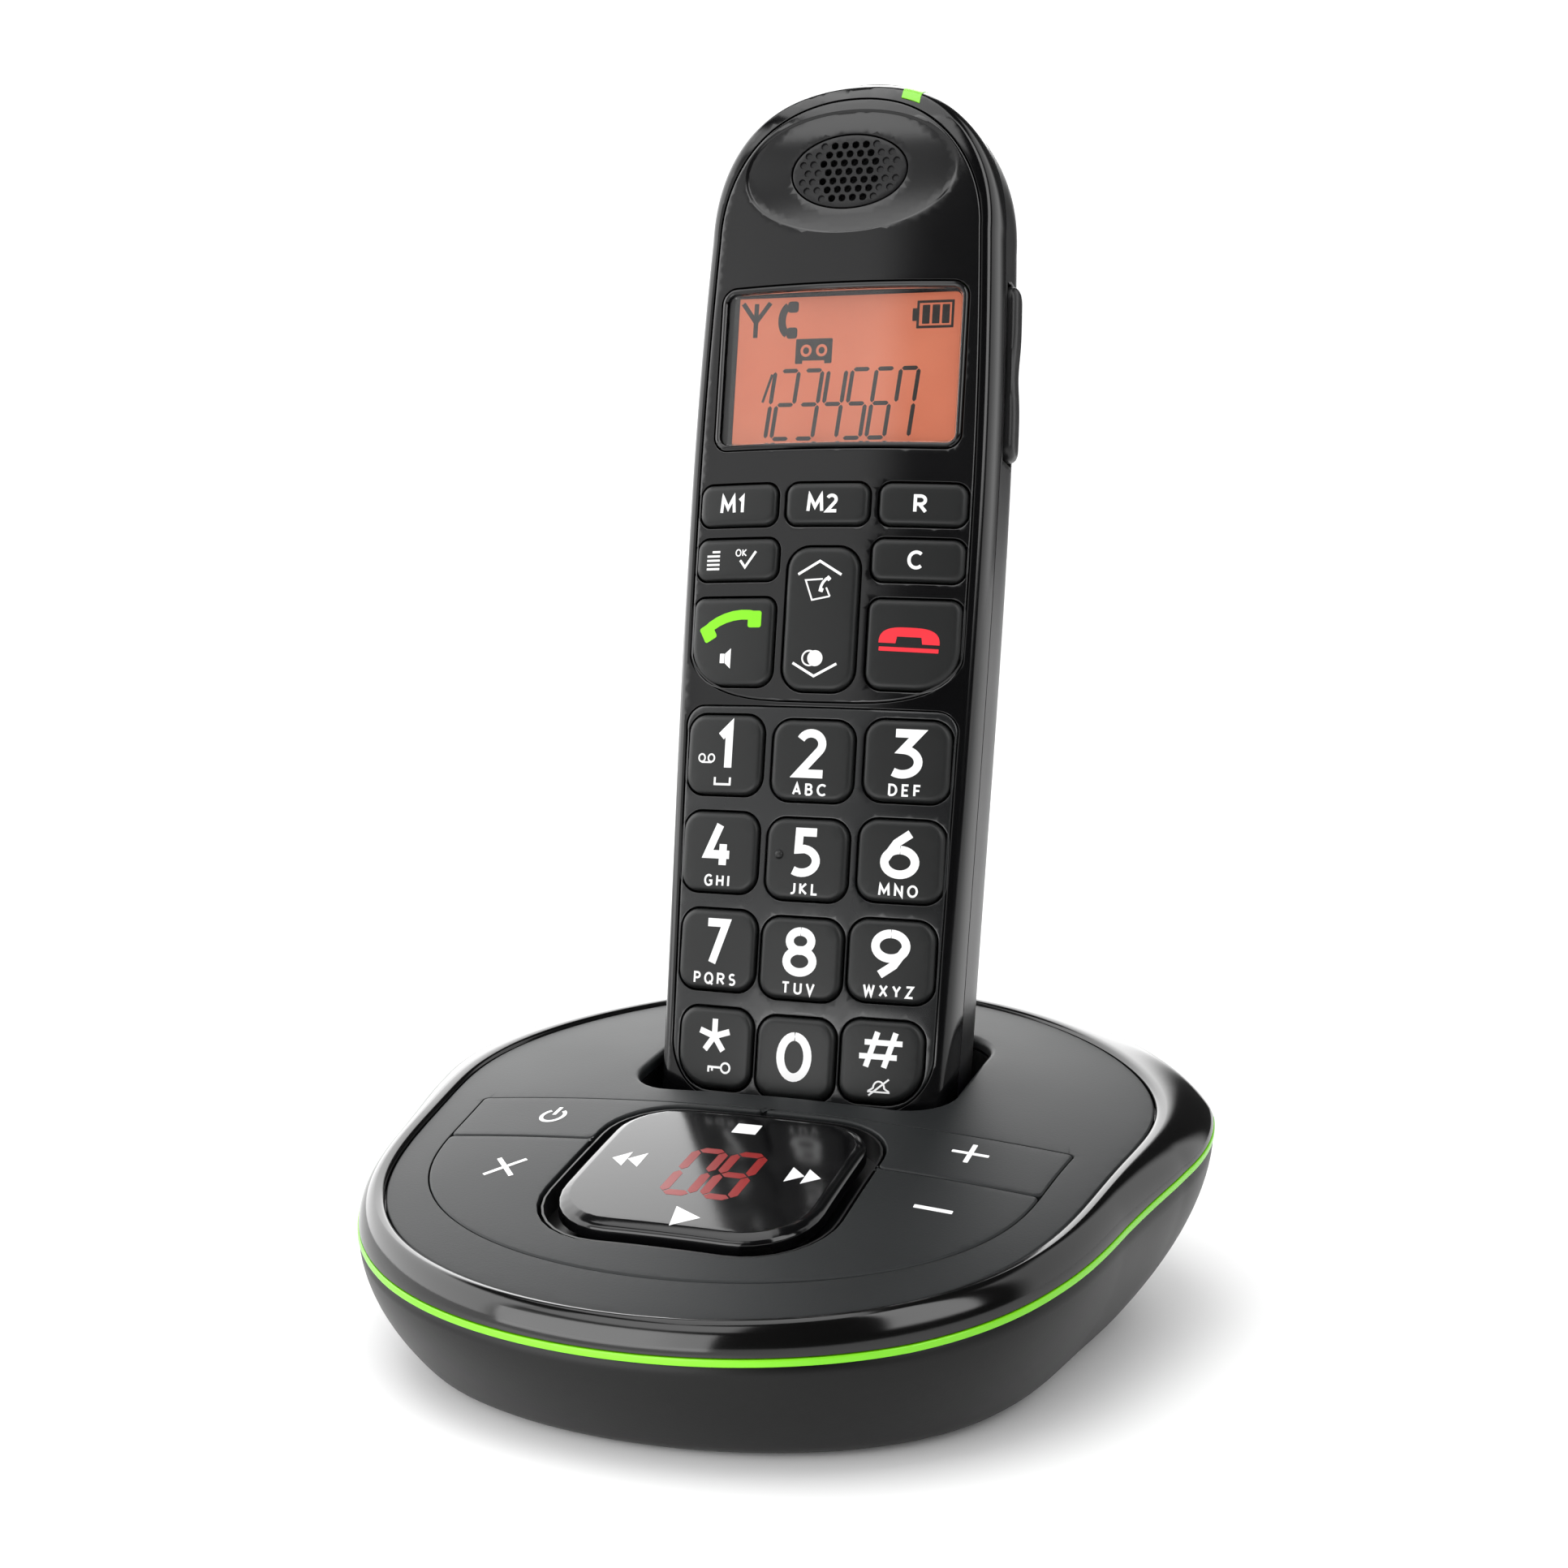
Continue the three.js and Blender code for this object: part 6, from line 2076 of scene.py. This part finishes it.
@dataclass
class Studio:
    """Camera, lights, floor and background."""

    lens: float = 50.31
    sensor: float = 36.0
    around: float = 19.94
    pitch: float = 6.52
    stand: tuple[float, float, float] = (111.16, -308.02, 100.12)
    # surroundings: lamps, what polished surfaces see, and the light beyond both
    lights: tuple[SoftBox, ...] = (
        SoftBox("top_box", (-0.15, -0.10, 1.1), (0.0, 0.0, 0.0), (0.9, 0.7), 5.0),
        SoftBox("low_card", (-0.035, -0.135, 0.034), (-0.02, -0.06, 0.024), (0.11, 0.05), 0.07),
    )
    windows: tuple[SoftWindow, ...] = (
        SoftWindow((-44.0, -14.0), 12.0, (-30.0, 26.0), 8.0, 1.0),
        SoftWindow((-48.0, 4.0), 5.0, (36.0, 54.0), 4.0, 3.0),
        SoftWindow((-172.0, -56.0), 8.0, (-6.0, 44.0), 6.0, 3.6),
        SoftWindow((52.0, 78.0), 4.0, (16.0, 66.0), 6.0, 4.0),
        SoftWindow((104.0, 146.0), 12.0, (-20.0, 50.0), 8.0, 1.3),
    )
    dim: float = 0.05
    bright: float = 1.15

    def make(self) -> None:
        """Build the studio."""
        self.camera()
        for box in self.lights:
            hang_light(box)
        lay_floor()
        self.world()
        bpy.context.scene.view_settings.view_transform = "Standard"

    def camera(self) -> None:
        """Put the camera in front, a little to the right and looking slightly down."""
        data = bpy.data.cameras.new("camera")
        data.lens = self.lens
        data.sensor_width = self.sensor
        data.clip_start = 0.01
        camera = bpy.data.objects.new("camera", data)
        bpy.context.scene.collection.objects.link(camera)
        a, e = math.radians(self.around), math.radians(self.pitch)
        ahead = Vector((-math.sin(a) * math.cos(e), math.cos(a) * math.cos(e), -math.sin(e)))
        turn = ahead.to_track_quat("-Z", "Y").to_matrix().to_4x4()
        place = Vector(BASE(np.array([self.stand]))[0])
        camera.matrix_world = Matrix.Translation(place) @ turn
        bpy.context.scene.camera = camera

    def world(self) -> None:
        """Surround the scene with white, which polished surfaces see as a dark room with soft windows."""
        world = bpy.data.worlds.new("studio")
        bpy.context.scene.world = world
        world.use_nodes = True
        world.cycles.sampling_method = "NONE"
        tree = world.node_tree
        tree.nodes.clear()
        way = add_node(tree, "ShaderNodeTexCoord", {}, {}).outputs["Generated"]
        x, y, z = add_node(tree, "ShaderNodeSeparateXYZ", {}, {"Vector": way}).outputs
        front = calculate(tree, "MULTIPLY", y, -1.0)
        around = calculate(tree, "DEGREES", calculate(tree, "ARCTAN2", x, front))
        height = calculate(tree, "DEGREES", calculate(tree, "ARCSINE", z))
        room: bpy.types.NodeSocket | float = self.dim
        for window in self.windows:
            across = band(tree, around, window.around, window.blur_around, window.strength)
            upright = band(tree, height, window.height, window.blur_height, 1.0)
            room = calculate(tree, "ADD", calculate(tree, "MULTIPLY", across, upright), room)
        ray = add_node(tree, "ShaderNodeLightPath", {}, {}).outputs
        mixed = add_node(tree, "ShaderNodeMix", {}, {"Factor": ray["Is Glossy Ray"]})
        mixed.inputs["A"].default_value = self.bright
        tree.links.new(room, mixed.inputs["B"])
        strength = {"Strength": mixed.outputs["Result"]}
        back = add_node(tree, "ShaderNodeBackground", {"Color": srgb("#ffffff")}, strength)
        add_node(tree, "ShaderNodeOutputWorld", {}, {"Surface": back.outputs["Background"]})


def main() -> None:
    """Build the phone and its studio."""
    logging.basicConfig(level=logging.INFO, format="%(message)s")
    Handset(HandsetForm()).make()
    Base(BaseForm()).make()
    Studio().make()


if __name__ == "__main__":
    main()
